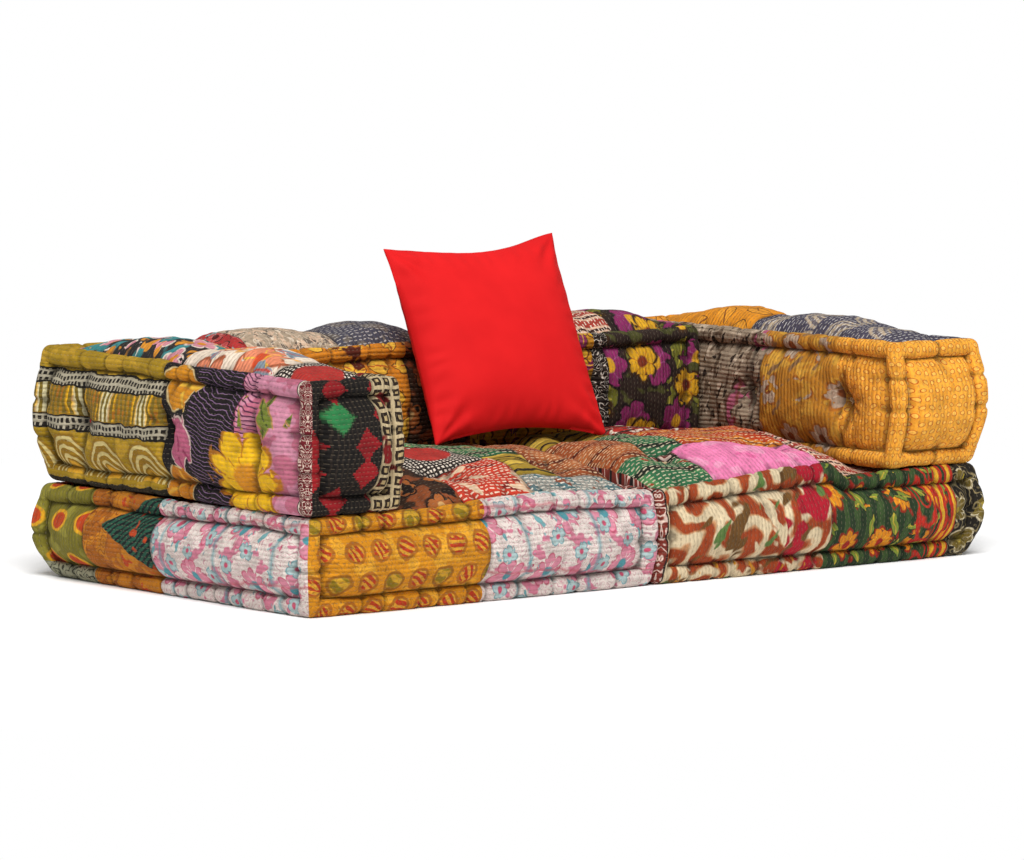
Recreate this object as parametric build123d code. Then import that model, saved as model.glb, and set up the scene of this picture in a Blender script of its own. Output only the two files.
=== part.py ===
"""Low modular floor sofa in stuffed, tufted mattress blocks, with one loose throw cushion.

Two square seat mattresses lie side by side on the floor. An arm block stands along the outer edge of each,
and a back block stands along the rear edge of each, between the arms. Every block is built the way a
hand-tufted cotton mattress is: a packed filling, a top panel, a bottom panel, four side panels, a stuffed
roll stitched round every edge, and twine tufts that pull opposite faces together.

+X runs along the front from left to right, +Y from front to back, +Z up. The origin is on the floor,
in the middle of the sofa's plan.
"""

from build123d import *
import os
from math import cos, exp, pi, radians, sin, sqrt

# Seat mattresses
seat_length = 770.0
seat_depth = 795.0
seat_edge_height = 172.0
seat_crown = 68.0
seat_tuft_depth = 27.0

# Arm and back blocks, which stand on the seats
arm_width = 205.0
back_depth = 250.0
upper_edge_height = 235.0
upper_crown = 32.0
side_tuft_depth = 26.0
upper_valley_depth = 12.0

# Puffed sides: how far a panel's middle stands outside the rolls
free_bulge = 22.0
inner_bulge = 18.0
pressed_ease = 2.0
border_ease = 15.0
pressed_sag = 3.5

# Cloth, rolled edges and twine
cloth = 3.0
roll_diameter = 30.0
corner_roll_diameter = 26.0
roll_groove = 8.0
twine_diameter = 3.0
knot_diameter = 14.0
knot_thickness = 2.2

# Spread of the pull round a tuft and of the valley between tufts
seat_tuft_spread = 52.0
side_tuft_spread = 40.0
valley_spread = 55.0

# Throw cushion
cushion_width = 400.0
cushion_height = 392.0
cushion_thickness = 124.0
cushion_draw_in = 11.0
cushion_cloth = 1.5
cushion_lean = 24.0

# Clearances
seam_gap = 0.2
stand_gap = 0.3
block_gap = 0.6
filling_ease = 2.5
cushion_rest_gap = 1.0
foot_flat = 0.5
knot_recess = 0.5
knot_ease = 0.6
cushion_ease = 1.0

# Tufts are set by hand in rows at these shares of a block's length, measured from its middle
three_row_shares = (-0.32, 0.01, 0.33)
single_row_shares = (0.0,)

# Where surface points stand: round a tuft in shares of its spread, and near an edge in shares of half the panel
tuft_station_shares = (-0.55, 0.55, -1.15, 1.15, -1.9, 1.9)
edge_station_shares = (1.0, 0.955, 0.88, 0.72, 0.45)
pillow_station_shares = (-1.0, -0.94, -0.78, -0.52, -0.2, 0.2, 0.52, 0.78, 0.94, 1.0)
least_station_share = 0.45
border_station_shares = (0.9, 1.0, 1.12)

# Shapes of the puffed surfaces: a high power holds the panel flat almost to its edge
flat_to_edge_power = 8
puff_power = 4
pillow_power = 0.62

# How many places round a knot's rim are tried to find the cloth's highest point under it
knot_rim_places = 12

roll_radius = roll_diameter / 2
corner_roll_radius = corner_roll_diameter / 2
twine_radius = twine_diameter / 2
knot_radius = knot_diameter / 2
half_seat_gap = block_gap / 2
sofa_half_length = half_seat_gap + seat_length
upper_base = seat_edge_height + stand_gap


def window(share, power=puff_power):
    """A smooth hump over shares -1 to 1, level in the middle and flush at both ends."""
    return (1 - abs(share) ** power) ** 2 if abs(share) < 1 else 0.0


def flat_to_edge(share):
    """Nearly 1 across a panel and 0 at its edge, where it drops into the stitched groove."""
    return 1 - min(1.0, abs(share)) ** flat_to_edge_power


def pull(distance, spread):
    """How strongly a tuft or a valley draws the cloth in at that distance."""
    return exp(-((distance / spread) ** 2))


def stations(half, tufts, spread, borders=()):
    """Surface point places from -half to half, closer together near the edges, the borders and each tuft."""
    edges = [side * share * half for share in edge_station_shares[:3] for side in (-1, 1)]
    between = [side * share * half for share in edge_station_shares[3:] for side in (-1, 1)]
    round_tufts = [t + share * spread for share in tuft_station_shares for t in tufts]
    kept = sorted(edges + [t for t in tufts] + [b for b in borders])
    for place in round_tufts + between + [0.0]:
        clear = all(abs(place - other) > least_station_share * spread for other in kept)
        if clear and abs(place) < half * edge_station_shares[1]:
            kept.append(place)
    return sorted(kept)


def puffed_face(across, along, rise, drop=0.0):
    """The smooth surface through the points (x, y, rise) over a grid of places."""
    return Face.make_surface_from_array_of_points(
        [[Vector(x, y, rise(x, y) - drop) for x in across] for y in along]
    )


def puffed_sheet(across, along, rise):
    """A cloth panel lying in the XY plane: a puffed sheet of even thickness with square cut edges."""
    return extrude(puffed_face(across, along, rise), amount=cloth, dir=(0, 0, -1))


def rod(start, end, radius):
    """A round bar from one point to another."""
    axis = Vector(*end) - Vector(*start)
    return Plane(Vector(*start), z_dir=axis) * extrude(Circle(radius), amount=axis.length)


class Block:
    """One stuffed mattress block, worked out about the middle of its own base and then moved to its place."""

    def __init__(self, name, length, depth, height, place):
        self.name = name
        self.half_x = length / 2
        self.half_y = depth / 2
        self.height = height
        self.place = place
        self.vertical_tufts = []
        self.side_tufts = {"front": [], "back": [], "left": [], "right": []}
        self.bulges = {side: self.even_bulge(free_bulge) for side in self.side_tufts}

    def even_bulge(self, proud):
        """Stands the whole panel out by proud, measured from the rolls' outer face."""
        return lambda u: proud

    def top_rise(self, x, y):
        """Height of the top panel over the rolls' highest line."""
        return 0.0

    def top_half(self, side_half):
        """Half width of the top panel, which lies inside the top roll."""
        return side_half - roll_diameter - seam_gap

    def top_surface(self, x, y):
        """The top panel's outer surface, dropping into the groove all round."""
        reach = flat_to_edge(x / self.top_half(self.half_x)) * flat_to_edge(y / self.top_half(self.half_y))
        drawn = sum(
            seat_tuft_depth * pull(sqrt((x - tx) ** 2 + (y - ty) ** 2), seat_tuft_spread)
            for tx, ty in self.vertical_tufts
        )
        return -roll_groove + (roll_groove - pressed_ease) * reach + self.top_rise(x, y) - drawn

    def side_surface(self, side, half_u, half_v):
        """A side panel's outer surface over the plane through the rolls' centres."""
        tufts = self.side_tufts[side]
        bulge = self.bulges[side]

        def rise(u, v):
            reach = flat_to_edge(u / half_u) * window(v / half_v, puff_power)
            drawn = sum(side_tuft_depth * pull(sqrt((u - t) ** 2 + v**2), side_tuft_spread) for t in tufts)
            return (roll_radius + bulge(u)) * reach - drawn

        return rise

    def side_plane(self, side):
        """The plane through the rolls' centres on one side, with its normal pointing out of the block."""
        out = {"front": (0, -1), "back": (0, 1), "left": (-1, 0), "right": (1, 0)}[side]
        reach = self.half_y if out[0] == 0 else self.half_x
        centre = Vector(out[0], out[1], 0) * (reach - roll_radius) + Vector(0, 0, self.height / 2)
        along = (1, 0, 0) if out[0] == 0 else (0, 1, 0)
        return Plane(centre, x_dir=along, z_dir=(out[0], out[1], 0))

    def side_panel(self, side):
        """A side panel between the top and bottom rolls and the two corner rolls."""
        side_half = self.half_x if side in ("front", "back") else self.half_y
        half_u = side_half - roll_radius - corner_roll_radius - seam_gap
        half_v = self.height / 2 - roll_diameter - seam_gap
        rise = self.side_surface(side, half_u, half_v)
        tufts = self.side_tufts[side]
        across = stations(half_u, tufts, side_tuft_spread)
        along = stations(half_v, [0.0] if tufts else [], side_tuft_spread)
        return self.side_plane(side) * puffed_sheet(across, along, rise)

    def top_panel(self):
        """The crowned top panel, inside the top roll."""
        return Pos(0, 0, self.height) * puffed_sheet(*self.top_stations(), self.top_surface)

    def top_stations(self):
        """Where the top panel's surface points stand."""
        x_rows, y_rows = self.top_rows()
        x_borders, y_borders = self.top_borders()
        across = stations(self.top_half(self.half_x), x_rows, seat_tuft_spread, x_borders)
        along = stations(self.top_half(self.half_y), y_rows, seat_tuft_spread, y_borders)
        return across, along

    def top_rows(self):
        """The X and the Y places of the tufts or valleys that shape the top panel."""
        return sorted({x for x, _ in self.vertical_tufts}), sorted({y for _, y in self.vertical_tufts})

    def top_borders(self):
        """The X and the Y places where the top panel's crown begins, away from its edges."""
        return [], []

    def bottom_panel(self):
        """The flat bottom panel, inside the bottom roll."""
        above_foot = roll_radius - cloth - foot_flat
        inset = roll_radius + sqrt(roll_radius**2 - above_foot**2) + seam_gap
        sheet = Box(2 * (self.half_x - inset), 2 * (self.half_y - inset), cloth)
        return Pos(0, 0, cloth / 2) * sheet

    def filling(self):
        """The packed filling between the top and bottom panels, inside the rolls."""
        face = puffed_face(*self.top_stations(), self.top_surface, cloth + stand_gap)
        column = Pos(0, 0, self.height) * extrude(face, amount=2 * self.height, dir=(0, 0, -1))
        inset = roll_diameter + filling_ease
        core = Box(2 * (self.half_x - inset), 2 * (self.half_y - inset), 2 * self.height)
        return column & (Pos(0, 0, cloth + seam_gap + self.height) * core)

    def ring(self, centre_height):
        """A closed stuffed roll along the block's four edges at one height, with mitred corners."""
        run_x, run_y = self.half_x - roll_radius, self.half_y - roll_radius
        corners = [(0, -run_y), (run_x, -run_y), (run_x, run_y), (-run_x, run_y), (-run_x, -run_y), (0, -run_y)]
        path = Polyline(*[(x, y, centre_height) for x, y in corners])
        section = Plane((0, -run_y, centre_height), z_dir=(1, 0, 0)) * Circle(roll_radius)
        return sweep(section, path=path, transition=Transition.RIGHT)

    def roll_edge(self):
        """The top and bottom rolls joined by a roll up each corner, and trodden flat underneath."""
        low = roll_radius - foot_flat
        high = self.height - roll_radius
        run_x, run_y = self.half_x - roll_radius, self.half_y - roll_radius
        edge = self.ring(low) + self.ring(high)
        for x in (-run_x, run_x):
            for y in (-run_y, run_y):
                edge += rod((x, y, low), (x, y, high), corner_roll_radius)
        return split(edge, bisect_by=Plane.XY, keep=Keep.TOP)

    def knot_seat(self, surface, x, y):
        """Height of a knot's underside, just clear of the highest cloth under its rim."""
        turns = [2 * pi * step / knot_rim_places for step in range(knot_rim_places)]
        rim = [surface(x + knot_radius * cos(turn), y + knot_radius * sin(turn)) for turn in turns]
        return max(rim) + knot_ease

    def tuft_ends(self):
        """The two ends of each tuft, each the knot's inner face and the direction that it faces."""
        ends = []
        for x, y in self.vertical_tufts:
            top = self.height + self.knot_seat(self.top_surface, x, y)
            ends.append((Vector(x, y, knot_recess + knot_thickness), Vector(x, y, top)))
        for near, far in (("front", "back"), ("left", "right")):
            for t in self.side_tufts[near]:
                ends.append(tuple(self.side_tuft_end(side, t) for side in (near, far)))
        return ends

    def side_tuft_end(self, side, t):
        """Where a side tuft's knot lies on its panel."""
        half_v = self.height / 2 - roll_diameter - seam_gap
        side_half = self.half_x if side in ("front", "back") else self.half_y
        half_u = side_half - roll_radius - corner_roll_radius - seam_gap
        seat = self.knot_seat(self.side_surface(side, half_u, half_v), t, 0)
        return self.side_plane(side).from_local_coords(Vector(t, 0, seat))

    def tufts(self):
        """Each tuft is one length of twine through the block with a flat knot at both ends."""
        pieces = []
        for start, end in self.tuft_ends():
            along = (end - start).normalized()
            twine = rod(start, end, twine_radius)
            twine += rod(start - along * knot_thickness, start, knot_radius)
            twine += rod(end, end + along * knot_thickness, knot_radius)
            pieces.append(twine)
        return pieces

    def pierced(self, piece):
        """A panel or filling with a hole for every twine that passes through it."""
        return piece - [rod(start, end, twine_radius + seam_gap) for start, end in self.tuft_ends()]

    def knot_seats(self, panel):
        """A panel with a round seat for each knot that lies flush in it."""
        for x, y in self.vertical_tufts:
            panel -= Pos(x, y, cloth / 2) * Cylinder(knot_radius + seam_gap, 2 * cloth)
        return panel

    def side_pieces(self, side):
        """The lengths of cloth that make up one side."""
        return [self.pierced(self.side_panel(side))]

    def pieces(self):
        """Every separate piece of the block, by name."""
        sides = [length for side in self.side_tufts for length in self.side_pieces(side)]
        made = {
            "filling": [self.pierced(self.filling())],
            "top_panel": [self.pierced(self.top_panel())],
            "bottom_panel": [self.knot_seats(self.bottom_panel())],
            "side_panels": sides,
            "roll_edge": [self.roll_edge()],
            "tufts": self.tufts(),
        }
        return {f"{self.name}_{piece}": [self.place * s for s in solids] for piece, solids in made.items()}


class Seat(Block):
    """A seat mattress. Its crown fills the open part, and it is pressed flat under the arm and the back."""

    def __init__(self, name, side):
        centre_x = side * (half_seat_gap + seat_length / 2)
        super().__init__(name, seat_length, seat_depth, seat_edge_height, Pos(centre_x, 0, 0))
        self.side = side
        rows_x = [share * seat_length for share in three_row_shares]
        rows_y = [share * seat_depth for share in three_row_shares]
        self.vertical_tufts = [(x, y) for x in rows_x for y in rows_y if self.is_open(x, y)]
        inner_side = "right" if side < 0 else "left"
        self.bulges[inner_side] = self.even_bulge(-pressed_ease)

    def open_middle(self):
        """Middle and half size of the part that no block stands on, in the mattress's own frame."""
        free_x = seat_length - arm_width
        free_y = seat_depth - back_depth
        return -self.side * arm_width / 2, -back_depth / 2, free_x / 2, free_y / 2

    def open_shares(self, x, y):
        """Where a point lies in the open part, from -1 to 1 both ways."""
        mid_x, mid_y, half_x, half_y = self.open_middle()
        return (x - mid_x) / half_x, (y - mid_y) / half_y

    def is_open(self, x, y):
        """Whether a point lies in the open part."""
        return all(abs(share) < 1 for share in self.open_shares(x, y))

    def top_rise(self, x, y):
        """The seat's crown over its open part, and the slight sag that the blocks press beside it."""
        share_x, share_y = self.open_shares(x, y)
        crown = window(share_x) * window(share_y)
        return seat_crown * crown - pressed_sag * (1 - crown)

    def top_borders(self):
        """Places at and beside the lines where the arm and the back begin."""
        mid_x, mid_y, half_x, half_y = self.open_middle()
        to_arm = [mid_x + self.side * share * half_x for share in border_station_shares]
        to_back = [mid_y + share * half_y for share in border_station_shares]
        return to_arm, to_back


class Arm(Block):
    """An arm block. Its inner side bulges into the seat in front of the back block, and is pressed flat beside it."""

    def __init__(self, name, side):
        centre_x = side * (sofa_half_length - arm_width / 2)
        super().__init__(name, arm_width, seat_depth, upper_edge_height, Pos(centre_x, 0, upper_base))
        rows = [share * seat_depth for share in three_row_shares]
        outer_side, inner_side = ("left", "right") if side < 0 else ("right", "left")
        self.side_tufts[outer_side] = rows
        self.side_tufts[inner_side] = rows
        self.inner_side = inner_side
        self.bulges[inner_side] = self.inner_side_bulge

    def side_pieces(self, side):
        """The inner side is sewn from two lengths: a puffed one, and one that the back block presses flat."""
        panels = super().side_pieces(side)
        if side != self.inner_side:
            return panels
        seam_y = self.half_y - back_depth - border_ease
        seam = Pos(0, seam_y, self.height / 2) * Box(4 * self.half_x, seam_gap, 2 * self.height)
        return [length for panel in panels for length in (panel - seam).solids()]

    def inner_side_bulge(self, y):
        """How far the inner side stands proud: free in front of the back block and pressed beside it."""
        pressed_depth = back_depth + border_ease
        share = (y + pressed_depth / 2) / (seat_depth / 2 - pressed_depth / 2)
        return (inner_bulge + pressed_ease) * window(share) - pressed_ease

    def top_rise(self, x, y):
        """The arm's crown, with a valley across it at each row of tufts."""
        rows = self.side_tufts["left"]
        valley = max(pull(y - row, valley_spread) for row in rows)
        crown = upper_crown * window(x / self.half_x) - upper_valley_depth * valley * window(x / self.half_x)
        return crown * window(y / self.half_y, flat_to_edge_power)

    def top_rows(self):
        return [], self.side_tufts["left"]


class Back(Block):
    """A back block, between an arm and the other back block."""

    def __init__(self, name, side):
        length = seat_length - arm_width - block_gap / 2
        centre_x = side * (half_seat_gap + length / 2)
        centre_y = seat_depth / 2 - back_depth / 2
        super().__init__(name, length, back_depth, upper_edge_height, Pos(centre_x, centre_y, upper_base))
        rows = [share * length for share in single_row_shares]
        self.side_tufts["front"] = rows
        self.side_tufts["back"] = rows
        self.bulges["front"] = self.even_bulge(inner_bulge)
        self.bulges["left"] = self.even_bulge(-pressed_ease)
        self.bulges["right"] = self.even_bulge(-pressed_ease)

    def top_rise(self, x, y):
        """The back's crown, with a valley across it at its row of tufts."""
        rows = self.side_tufts["front"]
        valley = max(pull(x - row, valley_spread) for row in rows)
        crown = upper_crown * window(y / self.half_y) - upper_valley_depth * valley * window(y / self.half_y)
        return crown * window(x / self.half_x, flat_to_edge_power)

    def top_rows(self):
        return self.side_tufts["front"], []


def pillow_point(u, v, drop):
    """A point of the cushion's front surface, for shares u and v from -1 to 1, over its middle plane."""
    half_x = cushion_width / 2 - cushion_draw_in * (1 - v**2)
    half_y = cushion_height / 2 - cushion_draw_in * (1 - u**2)
    puff = (max(0.0, 1 - u**2) * max(0.0, 1 - v**2)) ** pillow_power
    return Vector(u * half_x, v * half_y, cushion_thickness / 2 * puff - drop)


def pillow_face(drop=0.0):
    """The cushion's front surface, lowered by drop."""
    shares = pillow_station_shares
    return Face.make_surface_from_array_of_points([[pillow_point(u, v, drop) for u in shares] for v in shares])


def cushion_pieces(seat_height_at):
    """The throw cushion: two cloth panels sewn round the edge over a loose filling, leaning on the backs."""
    front = Pos(0, 0, seam_gap / 2) * extrude(pillow_face(), amount=cushion_cloth, dir=(0, 0, 1))
    back = mirror(front, about=Plane.XY)
    half_pad = extrude(pillow_face(cushion_ease), amount=cushion_thickness, dir=(0, 0, -1))
    half_pad = split(half_pad, bisect_by=Plane.XY, keep=Keep.TOP)
    pad = half_pad + mirror(half_pad, about=Plane.XY)
    lean = radians(cushion_lean)
    roll_y = seat_depth / 2 - back_depth + roll_radius
    roll_z = upper_base + upper_edge_height - roll_radius
    reach = cushion_thickness / 2 + cushion_cloth + roll_radius + cushion_rest_gap
    foot_y, foot_z = 0.0, seat_edge_height + seat_crown
    for _ in range(8):
        foot_y = roll_y - ((roll_z - foot_z) * sin(lean) + reach) / cos(lean)
        foot_z = seat_height_at(cushion_width / 2, foot_y) + cushion_cloth + cushion_rest_gap
    centre_y = foot_y + cushion_height / 2 * sin(lean)
    centre_z = foot_z + cushion_height / 2 * cos(lean)
    upright = Plane((0, centre_y, centre_z), x_dir=(1, 0, 0), z_dir=(0, -cos(lean), sin(lean)))
    return {
        "cushion_front_panel": [upright * front],
        "cushion_back_panel": [upright * back],
        "cushion_filling": [upright * pad],
    }


def write_parts(pieces):
    """Writes one STEP file for each named piece."""
    os.makedirs("parts", exist_ok=True)
    for name, shapes in pieces.items():
        solids = [solid for shape in shapes for solid in shape.solids()]
        whole = solids[0] if len(solids) == 1 else Compound(children=solids)
        export_step(whole, f"parts/{name}.step")
        print(name, len(solids))


seat_left, seat_right = Seat("seat_left", -1), Seat("seat_right", 1)
blocks = [
    seat_left,
    seat_right,
    Arm("arm_left", -1),
    Arm("arm_right", 1),
    Back("back_left", -1),
    Back("back_right", 1),
]


def right_seat_height(x, y):
    """Height of the right seat's top panel at a place on the sofa."""
    return seat_edge_height + seat_right.top_surface(x - half_seat_gap - seat_length / 2, y)


all_pieces = {}
for block in blocks:
    all_pieces.update(block.pieces())
all_pieces.update(cushion_pieces(right_seat_height))
write_parts(all_pieces)
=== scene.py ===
"""Looks of a low modular floor sofa: stuffed mattress blocks in patchwork cotton, and a red throw cushion.

Every block's cover is one padded piece: a box mesh bent into rolled edges, crowned and tufted panels, folds
and puckers. Its patches are separate materials, each a printed cotton with rows of running stitch.
"""

import inspect
import math

import bmesh
import bpy
import numpy as np
from mathutils import Matrix, Vector


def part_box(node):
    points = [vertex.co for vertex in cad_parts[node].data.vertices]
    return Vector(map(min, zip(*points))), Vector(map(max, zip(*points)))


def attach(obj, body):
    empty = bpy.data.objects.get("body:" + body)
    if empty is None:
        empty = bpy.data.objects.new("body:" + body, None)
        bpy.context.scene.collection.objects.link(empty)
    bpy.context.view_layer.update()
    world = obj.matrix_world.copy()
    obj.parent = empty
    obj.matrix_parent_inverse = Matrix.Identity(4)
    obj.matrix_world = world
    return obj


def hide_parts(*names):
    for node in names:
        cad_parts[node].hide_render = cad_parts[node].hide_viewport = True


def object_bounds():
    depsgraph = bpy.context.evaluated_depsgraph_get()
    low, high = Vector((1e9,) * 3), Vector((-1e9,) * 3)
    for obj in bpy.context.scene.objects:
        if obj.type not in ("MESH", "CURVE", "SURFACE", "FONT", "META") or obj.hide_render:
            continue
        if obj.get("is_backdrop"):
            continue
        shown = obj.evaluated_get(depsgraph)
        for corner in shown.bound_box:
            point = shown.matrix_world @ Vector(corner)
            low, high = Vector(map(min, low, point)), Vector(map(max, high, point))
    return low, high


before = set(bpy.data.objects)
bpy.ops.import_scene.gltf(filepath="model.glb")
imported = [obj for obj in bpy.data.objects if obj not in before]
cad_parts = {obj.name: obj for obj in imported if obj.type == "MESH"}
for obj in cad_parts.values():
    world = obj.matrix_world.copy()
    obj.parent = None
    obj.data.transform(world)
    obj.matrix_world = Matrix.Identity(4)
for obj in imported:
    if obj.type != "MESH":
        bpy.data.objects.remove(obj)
cad_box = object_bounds()

# Sizes in metres, as in the solids
ROLL = 0.0155
ROLL_CELLS = 8
CREST_CELLS = 3
INNER_TURN = math.radians(80)
GROOVE = ROLL * (1 - math.cos(INNER_TURN))
CELL = 0.0052
# What two rolls take of a side's length, which has cells of its own
ROLL_PAIR = 0.06
BLOCKS = ("seat_left", "seat_right", "arm_left", "arm_right", "back_left", "back_right")
COVERED = ("filling", "top_panel", "bottom_panel", "side_panels", "roll_edge")
FACES = {"left": (0, -1), "right": (0, 1), "front": (1, -1), "back": (1, 1), "bottom": (2, -1), "top": (2, 1)}
# The two axes that lie in a face, by the axis that stands on it
PLANE_AXES = ((1, 2), (0, 2), (0, 1))
# Where rows of tufts lie, as shares of a block's size from its middle
ROW_SHARES = (-0.32, 0.01, 0.33)
# How far a seat's top and an arm's or back's top stand up over the rolls, and the valleys across them
SEAT_CROWN = 0.068
UPPER_CROWN = 0.032
VALLEY = 0.012
VALLEY_WIDTH = 0.055
ARM_WIDTH = 0.205
BACK_DEPTH = 0.25
# How far a side stands out over the rolls where it is free, or in where a block presses it, and the margin
# and blend beside the back block
FREE_BULGE = 0.024
BACK_FRONT_BULGE = 0.014
ARM_INNER_BULGE = 0.02
PRESSED_IN = 0.002
PRESS_MARGIN = 0.015
PRESS_BLEND = 0.008
# How far a top lies under the rolls before its crown, and a seat's top lower still under the blocks on it
TOP_UNDER_ROLL = 0.001
COVERED_DROP = 0.0035
# A tuft's dimple and its knot's, as depth and width, its folds, as depth, distance and width, and the
# upright crease through it, as depth and width
TUFT_DIMPLE = {"top": (0.027, 0.052), "side": (0.026, 0.036)}
KNOT_DIMPLE = (0.006, 0.013)
TUFT_FOLDS = (0.0035, 0.034, 0.024)
TUFT_CREASE = (0.009, 0.013)
CREASE_SWAY = 0.006
# How high the filling's lumps stand, how wide they are, and what is added to the block's seed for them
LUMPS = ((0.0048, 0.085, 0), (0.0026, 0.031, 5), (0.0013, 0.017, 7))
# Folds that run in from the rolls' pinches, and seams between patches
FOLD_DEPTH = 0.007
FOLD_WIDTH = 0.0085
FOLD_REACH = 0.026
FOLD_START = 0.004
LUMP_START = 0.02
SEAM_DEPTH = 0.0045
SEAM_WIDTH = 0.007
SEAM_END = 0.01
# Where the first stitch pinches a roll, how near its end the last one may, and the pinches' gaps and width
FIRST_PINCH = 0.034
LAST_PINCH = 0.02
PINCH_GAPS = (0.034, 0.088)
PINCH_WIDTH = 0.005
# Shares of a roll's radius: where it is full, what a pinch takes, and what uneven stuffing gives or takes
FULL_SHARE = 1.03
PINCH_SHARE = 0.25
SWELL_SHARE = 0.17
SWELL_SIZE = 0.055
PLAIN_END = 0.03
# After so many rounds of smoothing, the depth that counts as a full crease
CREASE_DEPTHS = {3: 0.0016, 13: 0.0042}
# How far a block wanders from its ruled shape along X, Y and Z, over lumps of what size
WANDER = (0.0035, 0.0035, 0.004)
WANDER_SIZE = 0.14
# The floor holds a block still up to here, and it comes free over this height
HELD_HEIGHT = 0.01
FREED_OVER = 0.04
# How far free corners bow out, over what depth behind the face and what width along it
CORNER_BOW = 0.014
BOW_REACH = 0.12
BOW_WIDTH = 0.09
FOOT_TUCK = 0.007
ARM_BACK_RISE = 0.014
# Where a seat's front edge starts to rise, is highest and ends, from its left end, and how far it rises
FRONT_RISE = {"seat_left": (0.2, 0.5, 0.77, 0.012), "seat_right": (0.0, 0.415, 0.46, 0.026)}
FRONT_REACH = 0.13
# How far a block's fuller corner stands out along X and Y
CORNER_REACH = 0.16
CORNER_OUT = {
    "seat_left": (-0.012, 0.008),
    "arm_left": (-0.011, 0.008),
    "seat_right": (0.006, -0.004),
    "arm_right": (0.011, -0.008),
}


def linear(hex_code):
    """An sRGB hex colour as the linear colour that a shader takes."""
    values = [int(hex_code[i : i + 2], 16) / 255 for i in (0, 2, 4)]
    return tuple(v / 12.92 if v <= 0.04045 else ((v + 0.055) / 1.055) ** 2.4 for v in values) + (1.0,)


# Shape of the stuffed blocks
def window(share, power=4):
    """A smooth hump over shares -1 to 1."""
    return np.where(np.abs(share) < 1, (1 - np.abs(np.clip(share, -1, 1)) ** power) ** 2, 0.0)


def flat_to_edge(share):
    """Nearly 1 across a panel and 0 at its edge."""
    return 1 - np.minimum(1.0, np.abs(share)) ** 8


def pillow(share):
    """A full hump over shares -1 to 1, steep where it leaves its edges."""
    return np.maximum(0.0, 1 - np.abs(share) ** 2.4) ** 0.72


def pull(distance, spread):
    """How strongly a tuft or fold draws the cloth in at that distance."""
    return np.exp(-((distance / spread) ** 2))


def ease(share):
    """A smooth climb from 0 to 1."""
    return share * share * (3 - 2 * share)


HASH_PRIMES = (73856093, 19349663, 83492791)


def lumps(points, size, seed):
    """Smooth random values from -1 to 1 over 3-D points, for stuffing that packs unevenly."""
    grid = points / size + seed * 17.31
    base = np.floor(grid).astype(np.int64)
    part = grid - base
    blend = ease(part)
    total = np.zeros(len(points))
    for corner in range(8):
        step = np.array([(corner >> axis) & 1 for axis in range(3)])
        mixed = np.bitwise_xor.reduce((base + step) * HASH_PRIMES, axis=1) ^ (seed * 2654435)
        mixed = (mixed ^ (mixed >> 13)) * 1274126177 & 0x7FFFFFFF
        value = (mixed ^ (mixed >> 16)) % 10007 / 5003.5 - 1
        weight = np.prod(np.where(step, blend, 1 - blend), axis=1)
        total += value * weight
    return total


def pinch_places(length, seed):
    """Where hand stitches pinch a roll, unevenly spaced along it."""
    random = np.random.default_rng(seed)
    places = []
    at = FIRST_PINCH
    while at < length - LAST_PINCH:
        places.append(at)
        at += random.uniform(*PINCH_GAPS)
    return np.array(places)


def comb(along, places, spread):
    """1 at each pinch, falling off to both sides."""
    return np.max(pull(along[:, None] - places[None, :], spread), axis=1)


def point_places(mesh):
    """Where a mesh's points are."""
    places = np.zeros(len(mesh.vertices) * 3, np.float32)
    mesh.vertices.foreach_get("co", places)
    return places.reshape(-1, 3).astype(float)


def grid_box(name, counts):
    """A cube's mesh cut into so many cells along each axis, and its points from -1 to 1."""
    box = bmesh.new()
    bmesh.ops.create_cube(box, size=2.0)
    for axis, count in enumerate(counts):
        edges = [e for e in box.edges if abs((e.verts[0].co - e.verts[1].co)[axis]) > 1e-4]
        bmesh.ops.subdivide_edges(box, edges=edges, cuts=count - 1, use_grid_fill=True)
    bmesh.ops.recalc_face_normals(box, faces=box.faces)
    made = bpy.data.meshes.new(name)
    box.to_mesh(made)
    box.free()
    return made, point_places(made)


def bend(mesh, points):
    """Moves a mesh's points and shades it smooth."""
    mesh.vertices.foreach_set("co", points.astype(np.float32).ravel())
    mesh.polygons.foreach_set("use_smooth", np.ones(len(mesh.polygons), bool))
    mesh.update()


def mark_creases(mesh, points):
    """Keeps on each point how deep it lies in a fold or groove, from 0 to 1, for the painted shade and dust
    that darken the cloth there.
    """
    ends = np.zeros(len(mesh.edges) * 2, np.int32)
    mesh.edges.foreach_get("vertices", ends)
    ends = ends.reshape(-1, 2)
    here = np.concatenate([ends[:, 0], ends[:, 1]])
    there = np.concatenate([ends[:, 1], ends[:, 0]])
    count = np.bincount(here, minlength=len(points))[:, None]
    normals = np.zeros(len(points) * 3, np.float32)
    mesh.vertex_normals.foreach_get("vector", normals)
    smooth = points
    depth = np.zeros(len(points))
    for turn in range(max(CREASE_DEPTHS) + 1):
        sums = [np.bincount(here, weights=smooth[there, axis], minlength=len(points)) for axis in range(3)]
        smooth = np.stack(sums, axis=1) / count
        if turn in CREASE_DEPTHS:
            sunk = ((smooth - points) * normals.reshape(-1, 3)).sum(axis=1)
            depth = np.maximum(depth, sunk / CREASE_DEPTHS[turn])
    kept = mesh.attributes.new("crease", "FLOAT", "POINT")
    kept.data.foreach_set("value", np.clip(depth, 0, 1).astype(np.float32))


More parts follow.
